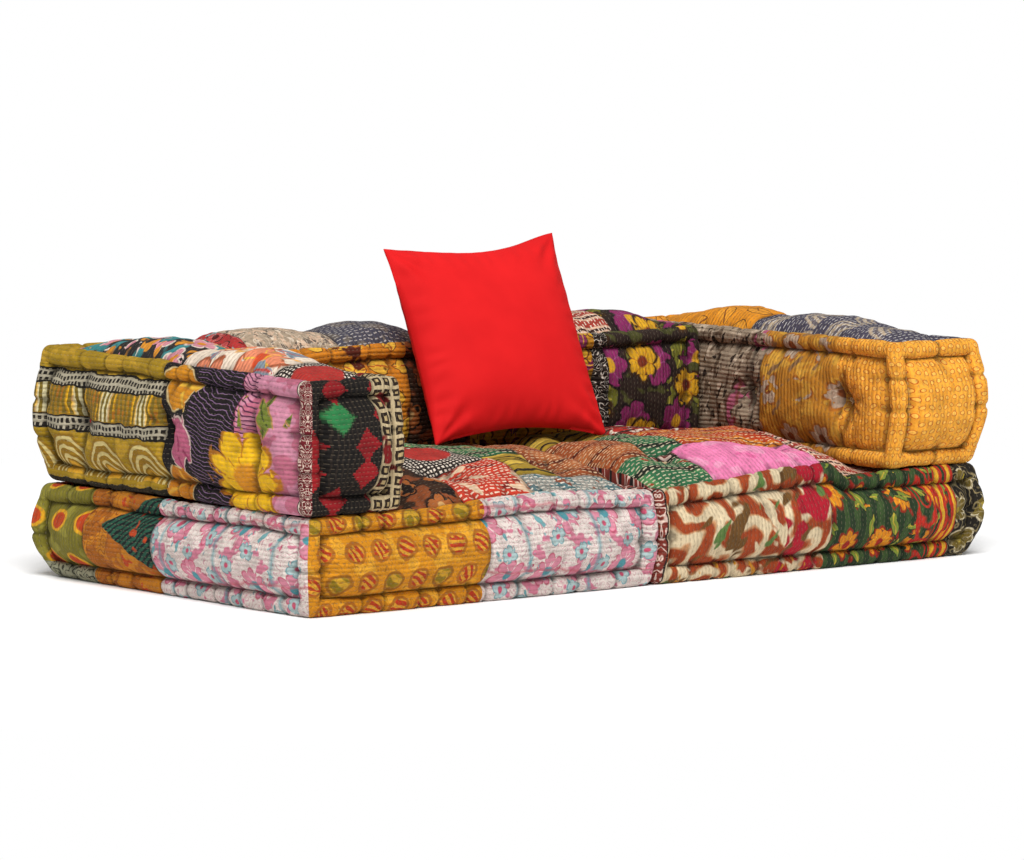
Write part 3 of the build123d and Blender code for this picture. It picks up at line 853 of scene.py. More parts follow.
# Each printed cotton: its ground colour, then its layers, bottom first. A layer is a pattern, its settings
# with sizes in metres, the colour of its only part or of each part that shows, and, where it needs them, a
# turn in degrees, the rectangle that it stays in, and the place of one cell's middle.
PRINTS = {
    "mustard_striped_dot": ("D28A16", [
        ("blotches", (0.05, 0.54, 1), "DE9E2A"),
        ("rings", (0.054, 0.4, 5), "ring A8641A disc D69A2E stripes B03418", 0, None, (0.06, 0.056)),
        ("rings", (0.108, 0.2, 5), "ring 966018 disc C89A2A stripes 867014", 0, None, (0.06, 0.056)),
        ("scribbles", (0.02, 0.05), "9A641A"),
    ]),
    "white_paisley": ("DED2C9", [
        ("scribbles", (0.017, 0.09), "C4939A"),
        ("blotches", (0.034, 0.585, 0.7), "CB7A8E", 20),
        ("blotches", (0.026, 0.625, 0.6), "6C9EA2", 50),
        ("flowers", (0.09, 0.34, 7, 0.8), "outline B84A64 petal D5889A ray EADDD6 core 4F929B"),
        ("flowers", (0.062, 0.24, 5, 0.8), "outline 5A939A petal A9BFBE core C2506A", 25),
        ("stripes", (0.16, 0.03, 0.003, 0.2), "5C9CA3", 90),
        ("stripes", (0.11, 0.02, 0.002, 0.2), "B84A5A", 4),
    ]),
    "olive_ring": ("787024", [
        ("blotches", (0.04, 0.56, 1), "8E8634"),
        ("rings", (0.075, 0.3, 1), "ring D9A021 disc BE441C"),
        ("band", across(-0.2, 0.028), "9B9A80"),
        ("scribbles", (0.03, 0.12), "39392C", 0, across(-0.2, 0.028)),
    ]),
    "orange_triangle": ("C27A1C", [
        ("blotches", (0.05, 0.5, 1), "A8601A"),
        ("scribbles", (0.035, 0.1), "8A4A12", 0, (0.12, 0.3, -0.1, 0.3)),
        ("wedge", (0.15, 0.115, 2.1, 0.017), "inside 24523F line 14181A"),
        ("blotches", (0.035, 0.6, 1), "B0401C", 0, (-0.1, 0.11, -0.1, 0.2)),
    ]),
    "cream_brush": ("D8C4A0", [
        ("stripes", (0.07, 0.6, 0.024, 0.09), "C08A5E", 52),
        ("stripes", (0.07, 0.46, 0.024, 0.09), "9A401C", 52),
        ("blotches", (0.045, 0.57, 0.5), "D8C4A0", 52),
        ("blotches", (0.05, 0.6, 0.4), "6B4A22", -35),
        ("blotches", (0.04, 0.655, 0.4), "5C7A3E", -40),
        ("blotches", (0.07, 0.52, 0.9), "A8182A", 20, (0.27, 0.41, -0.1, 0.3)),
        ("blotches", (0.04, 0.6, 1.6), "C9882A", 0, (-0.1, 0.5, -0.1, 0.03)),
    ]),
    "green_flower": ("384E28", [
        ("stripes", (0.03, 0.5, 0, 1), "24361F", 90),
        ("flowers", (0.085, 0.36, 8, 0.8), "petal D9871C outline 8C2413 ray EDB62C core A4231A"),
        ("blotches", (0.045, 0.6, 0.5), "9A2418", 70),
        ("leaves", (0.05, 0.16, 0.5), "leaf 7B8B33 rim 1D2A17 rib C2A63A"),
        ("stripes", (0.014, 0.5, 0, 1), "B02A1A", 90, (0.245, 0.31, -0.1, 0.3)),
        ("stripes", (0.028, 0.3, 0, 1), "D9A52B", 90, (0.245, 0.31, -0.1, 0.3)),
        ("scribbles", (0.08, 0.16), "B5291C", 0, (0.2, 0.25, -0.1, 0.3)),
    ]),
    "black_olive": ("1E1A14", [
        ("flowers", (0.06, 0.42, 5, 0.9), "petal 6B5A22 outline CFC2A0 core B09A3A"),
        ("scribbles", (0.04, 0.1), "8A7B55"),
    ]),
    "olive_sari": ("A3821C", [
        ("blotches", (0.05, 0.55, 1), "BC9428"),
        ("band", across(0.121, 0.175), "9C7418"),
        ("stripes", (0.1, 0.5, 0, 1), "EDB01C", 90, across(0.124, 0.172)),
        ("blotches", (0.025, 0.56, 1), "A86A18", 0, across(0.124, 0.172)),
        ("stripes", (0.1, 0.26, 0, 1), "D8CDA0", 90, across(0.122, 0.174), (0.05, 0.1)),
        ("stripes", (0.0125, 0.5, 0, 1), "7A6420", 90, across(0.122, 0.174)),
        ("band", across(0.175, 0.197), "A9A08A"),
        ("dashes", (0.011, 0.009, 0.007, 0.6), "211C16", 0, across(0.175, 0.197)),
        ("band", across(0.197, 0.2), "1E1912"),
        ("band", across(0.172, 0.175), "1E1912"),
        ("band", across(0.098, 0.121), "A9A08A"),
        ("dashes", (0.011, 0.009, 0.007, 0.6), "211C16", 0, across(0.098, 0.121)),
        ("band", across(0.118, 0.121), "1E1912"),
        ("band", across(0.096, 0.099), "1E1912"),
        ("arches", (0.115, 10, 0.4), "inside 96701A bands D2BE7C core DDA62E",
         0, across(0.012, 0.095), (0.05, 0.075)),
        ("band", across(-0.2, 0.008), "2A2416"),
    ]),
    "black_lotus": ("1C1516", [
        ("stripes", (0.008, 0.15, 0.003, 0.09), "8C6A90", -14, (0.17, 0.32, -0.2, 0.4)),
        ("band", (-1, 0.185, -0.2, 0.4), "BE6A80"),
        ("blotches", (0.05, 0.5, 1), "D08AA0", 0, (-1, 0.183, -0.2, 0.4)),
        ("stripes", (0.008, 0.3, 0.003, 0.09), "5A2A48", -14, (0.14, 0.19, 0.05, 0.4)),
        ("leaves", (0.085, 0.2, 1), "rim B08A2C leaf 75802F rib 3C4A1D",
         0, (0.05, 0.18, 0.12, 0.21), (0.11, 0.165)),
        ("flowers", (0.2, 0.46, 9, 1), "petal EFBA1C outline B4701A ray C98418 core D98F22",
         0, (0.06, 0.27, -0.05, 0.135), (0.165, 0.055)),
        ("leaves", (0.12, 0.3, 1), "rim E6C9BE leaf C0607E rib 9A3A5C",
         12, (0.3, 0.42, 0.05, 0.165), (0.35, 0.105)),
        ("leaves", (0.13, 0.32, 1), "rim D9C08A leaf D0881C rib E6B840",
         48, (0.3, 0.44, 0.15, 0.29), (0.37, 0.2)),
        ("leaves", (0.12, 0.32, 1), "rim D9C08A leaf C67A1C rib E0A83A",
         118, (0.3, 0.44, -0.1, 0.06), (0.375, 0.02)),
    ]),
    "black_diamond": ("15110F", [
        ("stripes", (0.009, 0.3, 0, 1), "29211B", 90),
        ("diamonds", (0.098, 0.3, 22), "9C1A20", 0, None, (0.049, 0.172)),
        ("diamonds", (0.196, 0.15, 44), "2C7A44", 0, None, (0.049, 0.172)),
        ("diamonds", (0.098, 0.3, 22), "8E161C", 0, None, (0.098, 0.123)),
    ]),
    "cream_net": ("2B1E14", [
        ("nets", (0.022, 0.13), "line C9B48C spot B9A070"),
        ("blotches", (0.07, 0.56, 1), "7A1818"),
    ]),
    "rust_scribble": ("7A2E24", [
        ("scribbles", (0.035, 0.13), "DFC3B4"),
        ("stripes", (0.03, 0.25, 0, 1), "1A1412", 90),
    ]),
    "teal_floral": ("2D2A2A", [
        ("blotches", (0.05, 0.5, 0.6), "3E8C8E"),
        ("flowers", (0.07, 0.42, 5, 0.8), "petal D78E9A outline EAD9C8 core D98A22"),
        ("blotches", (0.04, 0.58, 1), "D98F2B"),
    ]),
    "peach_floral": ("F0DCC6", [
        ("flowers", (0.12, 0.46, 5, 0.9), "petal EE8F6A outline A85A3A ray F5C04A core D9502A"),
        ("leaves", (0.08, 0.2, 0.6), "leaf 8896A0 rim F7EDE0 rib C9483E"),
        ("blotches", (0.06, 0.6, 1), "F2A93A"),
    ]),
    "mini_check": ("E9DCCB", [
        ("nets", (0.008, 0.24), "2A221E"),
        ("rings", (0.16, 0.3, 3), "ring B5322C disc B5322C"),
    ]),
    "rose": ("B0302F", [
        ("flowers", (0.05, 0.44, 6, 0.9), "petal C24A48 outline 1E1212 ray E89A90 core 57191B"),
        ("blotches", (0.03, 0.6, 1), "7FA5A4"),
    ]),
    "beige_speckle": ("B39E86", [
        ("blotches", (0.018, 0.53, 1), "D8B79A"),
        ("blotches", (0.016, 0.58, 1), "6D6156"),
        ("scribbles", (0.03, 0.06), "EBD9C2"),
    ]),
    "navy_kantha": ("4A4855", [
        ("blotches", (0.05, 0.54, 1), "6E655F"),
        ("dashes", (0.008, 0.012, 0.0018, 0.6), "BDB7B2"),
    ]),
    "purple_wave": ("5B2A5E", [
        ("stripes", (0.016, 0.45, 0.008, 0.07), "1A1119"),
        ("flowers", (0.09, 0.3, 6, 0.4), "petal E0A62B core B5451F"),
    ]),
    "orange_petal": ("D3801D", [
        ("leaves", (0.055, 0.26, 0.9), "leaf EAB33A rim 3A1C10 rib B0471A"),
        ("blotches", (0.05, 0.6, 1), "57200F"),
    ]),
    "purple_flower": ("2E201A", [
        ("blotches", (0.06, 0.52, 0.6), "4A4A22", 30),
        ("leaves", (0.075, 0.24, 0.6), "leaf 6A6A22 rim 1C1A10 rib A89A3A"),
        ("flowers", (0.115, 0.42, 6, 0.95), "petal 8A2A60 outline 1C1010 ray A04A80 core D9A227"),
        ("flowers", (0.13, 0.3, 6, 0.95), "petal D9A21F outline 3A2410 ray B8741A core 7A2F1A", 25),
    ]),
    "yellow_bloom": ("C1861F", [
        ("flowers", (0.075, 0.46, 5, 0.9), "petal D9A42B outline 5A2A10 ray 8A2F4A core 6A1F4A"),
        ("leaves", (0.05, 0.2, 0.4), "leaf 8A2F5A rim 2A1410 rib D9A42B"),
    ]),
    "black_curl": ("1F1410", [
        ("scribbles", (0.022, 0.08), "D9CDBF"),
    ]),
    "grey_scribble": ("A08C76", [
        ("blotches", (0.016, 0.56, 0.4), "6A5644", 70),
        ("blotches", (0.012, 0.6, 0.4), "2E2018", 60),
        ("blotches", (0.02, 0.6, 0.5), "C9B49C", 65),
        ("leaves", (0.15, 0.17, 0.5), "leaf B8607A rim 5A3A2C rib 8A4A40"),
    ]),
    "mustard_grey_flower": ("BE8128", [
        ("blotches", (0.04, 0.54, 0.8), "CF9A38"),
        ("flowers", (0.085, 0.36, 6, 0.75), "petal B59C84 outline A8641E ray D0C0A8 core 8A4A20"),
        ("blotches", (0.03, 0.62, 0.5), "8E6A44", 40),
    ]),
    "yellow_ring": ("F6AC3A", [
        ("blotches", (0.03, 0.53, 1), "ECA032"),
        ("rings", (0.0155, 0.33, 1), "ring C8641E disc F8BC52"),
    ]),
    "navy_scallop": ("4A4656", [
        ("arches", (0.09, 7, 0.5), "inside 6A6266 bands BCA88E core 4A4656"),
        ("dashes", (0.008, 0.013, 0.0018, 0.6), "C9C4C0"),
    ]),
    "orange_outline": ("E08F22", [
        ("leaves", (0.06, 0.3, 0.9), "rim 1E140C leaf E79A2C rib 7A3A12"),
    ]),
    "grey_paisley": ("9C8A76", [
        ("leaves", (0.05, 0.24, 0.9), "rim 4A4038 leaf BBA78E rib 5A4C42"),
        ("scribbles", (0.03, 0.08), "DCCDB6"),
    ]),
    "red_stripe": ("A23A2E", [
        ("stripes", (0.03, 0.5, 0, 1), "E0B497"),
        ("stripes", (0.03, 0.18, 0, 1), "3A1616"),
        ("dashes", (0.008, 0.012, 0.0022, 0.6), "F0DDC8", 90),
    ]),
    "orange_stripe": ("B8401A", [
        ("stripes", (0.05, 0.36, 0.005, 0.2), "D9822A", 18),
        ("blotches", (0.06, 0.57, 0.6), "8E1C16", 10),
        ("stripes", (0.05, 0.08, 0.005, 0.2), "5A1A10", 18),
        ("dashes", (0.009, 0.013, 0.002, 0.6), "E8C9A0"),
    ]),
    "pink": ("EE82B0", [
        ("blotches", (0.06, 0.54, 1), "F29CBE"),
        ("blotches", (0.05, 0.64, 1), "DC6698"),
    ]),
    "green_dash": ("2F6A44", [
        ("blotches", (0.05, 0.54, 0.5), "4E8A52", 20),
        ("stripes", (0.07, 0.2, 0.004, 0.2), "1A2018", 14),
        ("blotches", (0.05, 0.62, 0.6), "A8321C", 20),
        ("dashes", (0.008, 0.013, 0.0024, 0.6), "C9C0A0"),
    ]),
    "brown_black": ("3A2416", [
        ("blotches", (0.06, 0.53, 0.7), "8E4A26"),
        ("flowers", (0.07, 0.36, 5, 0.8), "petal A8602E outline 1E120C core C79C62"),
        ("blotches", (0.04, 0.6, 1), "1C100A"),
    ]),
    "rust_stitched": ("9A4E28", [
        ("blotches", (0.07, 0.52, 0.5), "B0683A", 20),
        ("stripes", (0.06, 0.14, 0.004, 0.2), "5A2414", 12),
        ("dashes", (0.008, 0.012, 0.0022, 0.6), "D9B48C"),
    ]),
    "corner_braid": ("6A1620", [
        ("scribbles", (0.013, 0.13), "D9C0B0"),
        ("band", (0.019, 0.0225, -1, 1), "E0D2C0"),
        ("band", (0.0225, 0.026, -1, 1), "1A1210"),
    ]),
    "red_kantha": ("C83A26", [
        ("blotches", (0.045, 0.55, 0.5), "E6C29E", 25),
        ("blotches", (0.03, 0.6, 0.5), "7A1A16", 25),
        ("dashes", (0.008, 0.012, 0.0026, 0.6), "E8CDB4"),
    ]),
    "olive_line": ("A88A2C", [
        ("stripes", (0.018, 0.3, 0.003, 0.1), "211A10"),
        ("stripes", (0.07, 0.25, 0.003, 0.1), "D8B54A"),
    ]),
    "slate_teal": ("A09A90", [
        ("blotches", (0.03, 0.53, 0.6), "5A7478", 15),
        ("scribbles", (0.026, 0.1), "2F6A6C"),
        ("blotches", (0.04, 0.62, 1), "8A4A30"),
        ("dashes", (0.008, 0.012, 0.0022, 0.6), "E0D8C8"),
    ]),
    "red_petal": ("8E1F1A", [
        ("flowers", (0.1, 0.46, 5, 1), "petal B02A20 outline E8DCC6 ray 5A1210 core EDE6DA"),
        ("stripes", (0.04, 0.3, 0.004, 0.2), "3A1A12"),
    ]),
    "plain_lining": ("A79B86", []),
}
# Cloths whose rows of running stitch run up and down, not along
UPRIGHT_ROWS = (
    "green_flower", "yellow_ring", "cream_brush", "purple_flower", "black_olive", "navy_kantha", "olive_ring",
    "cream_net", "mustard_grey_flower", "pink",
)
# A row of running stitch: the rows' pitch, a stitch and its gap, the thread's width and the stitch's share
STITCH = (0.0085, 0.0095, 0.0014, 0.5)
THREAD = linear("CDBB9B")
THREAD_SHARE = 0.15
PRINT_DRIFT = 0.014
# Where the wear's noise is low and high, and what it leaves of the colour there
WEAR = (0.32, 0.68, 0.7, 1.14)
CREASE_SHADE = 0.32
# The cloth's ripples: how high they stand, and the shares of that by which rows and threads lie lower
RIPPLE_HEIGHT = 0.0062
ROW_DIP = -0.27
THREAD_DIP = -0.3


def print_layers(place, ground, layers):
    """The colour of a print: its layers drawn over its ground."""
    colour = linear(ground)
    for kind, sizes, parts, *rest in layers:
        degrees, area, centre = rest + [0, None, None][len(rest):]
        turn = math.radians(degrees)
        shift = (0.0, 0.0, 0.0)
        if centre:
            middle = Vector((sizes[0] / 2, sizes[0] / 2, 0.0))
            shift = tuple(middle - Matrix.Rotation(turn, 3, "Z") @ Vector((*centre, 0.0)))
        drawn = use(place.to("Mapping", shift, (0.0, 0.0, turn)), kind, sizes)
        inside = use(place, "band", area)["inside"] if area else None
        words = parts.split()
        if len(words) == 1:
            words.insert(0, next(iter(drawn)))
        for part, hex_code in zip(words[::2], words[1::2]):
            mask = drawn[part] * inside if area else drawn[part]
            colour = mix(place.tree, mask, colour, linear(hex_code))
    return colour


def cloth(print_name):
    """A printed patch: thin layered cotton, block printed, with rows of running stitch that ripple it."""
    name = f"{print_name}_cotton"
    if name in bpy.data.materials:
        return bpy.data.materials[name]
    made, tree = new_material(name)
    flat = add(tree, "UVMap", uv_map="patch")
    # A hand-held block never lands quite true, so the print wanders by a few millimetres
    drift = flat.to("TexNoise", Scale=32.0, Detail=2.0, out=1).to("VectorMath:SUBTRACT", (0.5, 0.5, 0.5))
    place = flat.to("VectorMath:ADD", drift.to("VectorMath:SCALE", Scale=PRINT_DRIFT))
    colour = print_layers(place, *PRINTS[print_name])
    # The cloth is washed and worn, so its colour is uneven
    worn = place.to("TexNoise", Scale=30.0, Detail=6.0, Roughness=0.75).to("MapRange", *WEAR)
    # Painted shade, with some dust, darkens the cloth in the grooves and folds
    crease = add(tree, "Attribute", attribute_name="crease", out=2)
    shade = worn * crease.to("MapRange", 0.0, 1.0, 1.0, CREASE_SHADE)
    colour = mix(tree, 1.0, colour, shade.to("CombineXYZ", shade, shade), blend_type="MULTIPLY")
    upright = math.radians(90 if print_name in UPRIGHT_ROWS else 0)
    stitch = use(flat.to("Mapping", Rotation=(0.0, 0.0, upright)), "dashes", STITCH)
    colour = mix(tree, stitch["thread"] * THREAD_SHARE, colour, THREAD)
    # Between the rows the cloth stands up in ripples and crinkles
    stretched = flat.to("VectorMath:MULTIPLY", (1.0, 0.5, 1.0))
    crinkle = stretched.to("TexNoise", Scale=62.0, Detail=5.0, Roughness=0.68, Distortion=0.6)
    ripple = stitch["dip"].to("Math:MULTIPLY_ADD", ROW_DIP, crinkle)
    height = stitch["thread"].to("Math:MULTIPLY_ADD", THREAD_DIP, ripple)
    bump = add(tree, "Bump", Strength=1.0, Distance=RIPPLE_HEIGHT, Height=height)
    gloss = {"Base Color": colour, "Specular IOR Level": 0.25}
    surface(tree, add(tree, "BsdfPrincipled", Roughness=0.88, Normal=bump, **gloss))
    return made


def red_cotton():
    """Cushion cloth: one plain dyed cotton, closely woven, so it shades smoothly and shows only its weave."""
    made, tree = new_material("red_dyed_cotton")
    place = add(tree, "TexCoord", out=3)
    shade = place.to("TexNoise", Scale=9.0, Detail=3.0).to("MapRange", 0.3, 0.7, 0.0, 1.0)
    colour = mix(tree, shade, linear("CE1013"), linear("DC1719"))
    grain = place.to("TexNoise", Scale=900.0, Detail=1.0)
    bump = add(tree, "Bump", Strength=0.25, Distance=0.0006, Height=grain)
    gloss = {"Base Color": colour, "Specular IOR Level": 0.2}
    surface(tree, add(tree, "BsdfPrincipled", Roughness=0.8, Normal=bump, **gloss))
    return made


def twine(name, hex_code):
    """Tuft twine: twisted cotton, dull, with fine strands."""
    made, tree = new_material(name)
    strands = add(tree, "TexCoord", out=3).to("TexNoise", Scale=700.0, Detail=2.0)
    bump = add(tree, "Bump", Strength=0.6, Distance=0.0008, Height=strands)
    surface(tree, add(tree, "BsdfPrincipled", linear(hex_code), Roughness=0.9, Normal=bump))
    return made


# Where each patch lies on a face, in metres from the block's low corner. A side's patches run over its
# rolls, so heights go from below 0 to above the block.
LOW, HIGH = -1.0, 2.0
# Where many sides change their cloth, near their middle
HALF = 0.375


def strip(*parts):
    """Patches side by side along a face, each as its print and where it ends."""
    rows, start = [], LOW
    for print_name, end in parts:
        rows.append((print_name, start, end, LOW, HIGH))
        start = end
    return rows


PATCHES = {
    "seat_left": {
        "left": strip(("white_paisley", 0.44), ("orange_triangle", 0.64), ("olive_ring", HIGH)),
        "front": strip(("mustard_striped_dot", HALF), ("white_paisley", HIGH)),
        "back": strip(("olive_ring", HALF), ("orange_triangle", HIGH)),
        "right": strip(("rust_scribble", HALF), ("green_flower", HIGH)),
        "top": [
            ("brown_black", LOW, 0.36, LOW, 0.3),
            ("red_kantha", 0.36, 0.52, LOW, 0.17),
            ("slate_teal", 0.52, HIGH, LOW, 0.085),
            ("olive_line", 0.52, 0.62, 0.085, 0.2),
            ("rust_stitched", 0.62, HIGH, 0.085, HIGH),
            ("mini_check", 0.36, 0.52, 0.17, 0.3),
            ("green_dash", 0.52, 0.62, 0.2, HIGH),
            ("red_petal", LOW, 0.52, 0.3, HIGH),
        ],
    },
    "seat_right": {
        "left": strip(("rust_scribble", HALF), ("white_paisley", HIGH)),
        "front": strip(
            ("rust_scribble", 0.017), ("cream_brush", 0.4), ("green_flower", 0.705), ("black_olive", HIGH),
        ),
        "back": strip(("green_flower", HALF), ("cream_brush", HIGH)),
        "right": strip(("black_olive", 0.3), ("green_flower", HIGH)),
        "top": [
            ("green_dash", LOW, 0.17, LOW, 0.15),
            ("pink", 0.17, 0.45, LOW, 0.165),
            ("red_stripe", 0.45, HIGH, LOW, 0.3),
            ("rust_stitched", LOW, 0.12, 0.15, 0.38),
            ("green_dash", 0.12, 0.2, 0.165, 0.42),
            ("orange_stripe", 0.2, 0.45, 0.165, 0.34),
            ("red_petal", 0.2, HIGH, 0.34, HIGH),
            ("olive_line", LOW, 0.2, 0.38, HIGH),
            ("orange_stripe", 0.45, HIGH, 0.3, HIGH),
        ],
    },
    "arm_left": {
        "left": [
            ("black_lotus", LOW, 0.42, LOW, HIGH),
            ("olive_sari", 0.42, HIGH, LOW, HIGH),
            ("corner_braid", LOW, 0.026, LOW, HIGH),
        ],
        "front": strip(("corner_braid", 0.009), ("black_diamond", 0.14), ("cream_net", HIGH)),
        "back": strip(("olive_sari", HIGH)),
        "right": strip(("cream_net", 0.3), ("brown_black", HIGH)),
        "top": [
            ("mini_check", LOW, HIGH, LOW, 0.16),
            ("peach_floral", LOW, HIGH, 0.16, 0.42),
            ("teal_floral", LOW, HIGH, 0.42, HIGH),
        ],
    },
    "arm_right": {
        "left": strip(("yellow_ring", 0.155), ("mustard_grey_flower", 0.365), ("grey_scribble", HIGH)),
        "front": strip(("yellow_ring", HIGH)),
        "back": strip(("orange_outline", HIGH)),
        "right": strip(("navy_scallop", HALF), ("grey_paisley", HIGH)),
        "top": [
            ("navy_scallop", LOW, HIGH, LOW, 0.45),
            ("orange_outline", LOW, HIGH, 0.45, HIGH),
        ],
    },
    "back_left": {
        "left": strip(("rose", HIGH)),
        "front": strip(("purple_wave", 0.14), ("orange_petal", 0.42), ("brown_black", HIGH)),
        "back": strip(("navy_kantha", 0.3), ("rose", HIGH)),
        "right": strip(("brown_black", HIGH)),
        "top": strip(("rose", 0.1), ("beige_speckle", 0.3), ("navy_kantha", HIGH)),
    },
    "back_right": {
        "left": strip(("brown_black", HIGH)),
        "front": strip(("yellow_bloom", 0.3), ("black_curl", 0.33), ("purple_flower", HIGH)),
        "back": strip(("orange_stripe", 0.3), ("navy_kantha", HIGH)),
        "right": strip(("purple_flower", HIGH)),
        "top": strip(("orange_outline", 0.2), ("red_stripe", 0.38), ("purple_flower", HIGH)),
    },
}
for faces in PATCHES.values():
    faces["bottom"] = strip(("plain_lining", HIGH))


# Pieces
def place_piece(name, data, body, material_slot, nodes):
    """An object at the origin that shows instead of the given solids and moves with their body."""
    made = bpy.data.objects.new(name, data)
    bpy.context.scene.collection.objects.link(made)
    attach(made, body)
    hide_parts(*nodes)
    return made


# A knot's size, its twine's rise where it crosses itself, its height over the cloth, and how deep under the
# rolls' plane the cloth may be there
KNOT_RADIUS = 0.0062
KNOT_LIFT = 0.0014
KNOT_HEIGHT = 0.0016
KNOT_SEARCH = 0.06
TWINE_RADIUS = 0.0015


def knot_points(radius, count=40):
    """A flat overhand knot of twine, as a closed line."""
    angles = np.linspace(0, 2 * math.pi, count, endpoint=False)
    x = np.sin(angles) + 2 * np.sin(2 * angles)
    y = np.cos(angles) - 2 * np.cos(2 * angles)
    lift = -np.sin(3 * angles)
    return np.stack([x / 3 * radius, y / 3 * radius, lift * KNOT_LIFT], axis=1)


def tube(mesh, points, radius, sides=6):
    """Adds a closed tube along points to a bmesh."""
    count = len(points)
    rings_made = []
    for i in range(count):
        ahead = Vector(points[(i + 1) % count]) - Vector(points[i - 1])
        turn = ahead.to_track_quat("Z", "Y").to_matrix().to_4x4()
        place = Matrix.Translation(points[i]) @ turn
        rings_made.append(bmesh.ops.create_circle(mesh, segments=sides, radius=radius, matrix=place)["verts"])
    for i in range(count):
        this, following = rings_made[i], rings_made[(i + 1) % count]
        near = min(range(sides), key=lambda k: (following[k].co - this[0].co).length)
        for k in range(sides):
            after = (k + 1) % sides
            mesh.faces.new((this[k], this[after], *(following[(i + near) % sides] for i in (after, k))))
    bmesh.ops.recalc_face_normals(mesh, faces=mesh.faces)


def add_knots(cover, points):
    """The block's tuft knots, each laid on the cloth at the bottom of its dimple."""
    made = bmesh.new()
    middle = (cover.low + cover.high) / 2
    random = np.random.default_rng(cover.seed)
    for face, (axis, sign) in FACES.items():
        s_axis, t_axis = PLANE_AXES[axis]
        for s, t in cover.tufts(face):
            spot = middle.copy()
            spot[s_axis] += s
            spot[t_axis] += t
            spot[axis] = cover.plane(face)
            side = points[:, axis] * sign > spot[axis] * sign - KNOT_SEARCH
            away = np.hypot(points[:, s_axis] - spot[s_axis], points[:, t_axis] - spot[t_axis])
            spot = points[np.where(side, away, np.inf).argmin()].copy()
            spot[axis] += sign * KNOT_HEIGHT
            line = knot_points(KNOT_RADIUS)
            outward = Vector([sign if a == axis else 0 for a in range(3)])
            turn = outward.to_track_quat("Z", "Y").to_matrix() @ Matrix.Rotation(random.uniform(0, 2), 3, "Z")
            tube(made, [Vector(spot) + turn @ Vector(p) for p in line], TWINE_RADIUS)
    data = bpy.data.meshes.new(f"{cover.name}_knots")
    made.to_mesh(data)
    made.free()
    data.polygons.foreach_set("use_smooth", np.ones(len(data.polygons), bool))
    return data


def add_block(name, seed, materials):
    """One mattress block: its patchwork cover and its knots."""
    cover = Cover(name, seed)
    data = cover.mesh()
    nodes = [f"{name}_{piece}" for piece in COVERED]
    shown = place_piece(f"{name}_cover", data, name, "patchwork_cotton", nodes)
    knots = add_knots(cover, point_places(data))
    knots.materials.append(materials["red_twine" if name == "arm_left" else "natural_twine"])
    place_piece(f"{name}_knots", knots, name, "tuft_twine", [f"{name}_tufts"])


CUSHION_CELLS = 110
CUSHION_HALF = (0.2, 0.196)
CUSHION_DRAW = 0.011
CUSHION_PUFF = 0.062
CUSHION_LEAN = math.radians(24)
# It has slid a little to the right, and has sunk into the seat and the backs' rolls
CUSHION_SLIP = (0.014, 0.0, -0.002)
# The seam's gathers: pitch, height, distance from the seam and width
GATHERS = (0.034, 0.001, 0.02, 0.018)
# The creases that fan out of each corner: height, distance from the corner and width
CORNER_CREASES = (0.003, 0.06, 0.035)
CUSHION_LUMPS = (0.003, 0.09)
# The cushion's outline: its top right corner stands up like an ear, its foot's left corner is pushed up by
# the seat, its top edge sags and its foot edge arches
EAR_RISE = 0.016
PUSHED_UP = 0.008
TOP_SAG = 0.005
FOOT_ARCH = 0.02
CUSHION_EDGE = 0.0012


def cushion_points(cube):
    """The pillow's points from a cube's: a soft bag that is full in the middle and pointed at its corners."""
    u, v, face = cube[:, 0], cube[:, 1], np.sign(cube[:, 2])
    half_x = CUSHION_HALF[0] - CUSHION_DRAW * (1 - v**2)
    half_y = CUSHION_HALF[1] - CUSHION_DRAW * (1 - u**2)
    x, y = u * half_x, v * half_y
    low_v = v + 0.1 * (1 - v**2)
    puff = CUSHION_PUFF * np.maximum(0, (1 - u**2) * (1 - low_v**2)) ** 0.55
    from_seam = np.minimum((1 - np.abs(u)) * half_x, (1 - np.abs(v)) * half_y)
    around = np.where(np.abs(u) * half_x > np.abs(v) * half_y, y, x)
    pitch, high, place, wide = GATHERS
    gathers = np.sin(around * 2 * math.pi / pitch + 3 * lumps(cube * 0.2, 0.05, 4))
    puff += high * gathers * pull(from_seam - place, wide)
    high, place, wide = CORNER_CREASES
    for corner_u in (-1, 1):
        for corner_v in (-1, 1):
            away = np.hypot(x - corner_u * half_x, y - corner_v * half_y)
            turn = np.arctan2(y - corner_v * half_y, x - corner_u * half_x)
            puff += high * np.sin(turn * 9 + corner_u) * pull(away - place, wide)
    high, wide = CUSHION_LUMPS
    puff += high * lumps(np.stack([x, y, face * 0.3], axis=1), wide, 3) * np.minimum(1, from_seam / 0.03)
    y = y + EAR_RISE * pull(np.hypot(u - 1, v - 1), 0.42) + PUSHED_UP * pull(np.hypot(u + 1, v + 1), 0.4)
    y = y - TOP_SAG * pull(np.hypot(u, v - 1), 0.5) + FOOT_ARCH * (1 - u**2) * pull(v + 1, 0.5)
    return np.stack([x, y, face * (CUSHION_EDGE + puff)], axis=1)


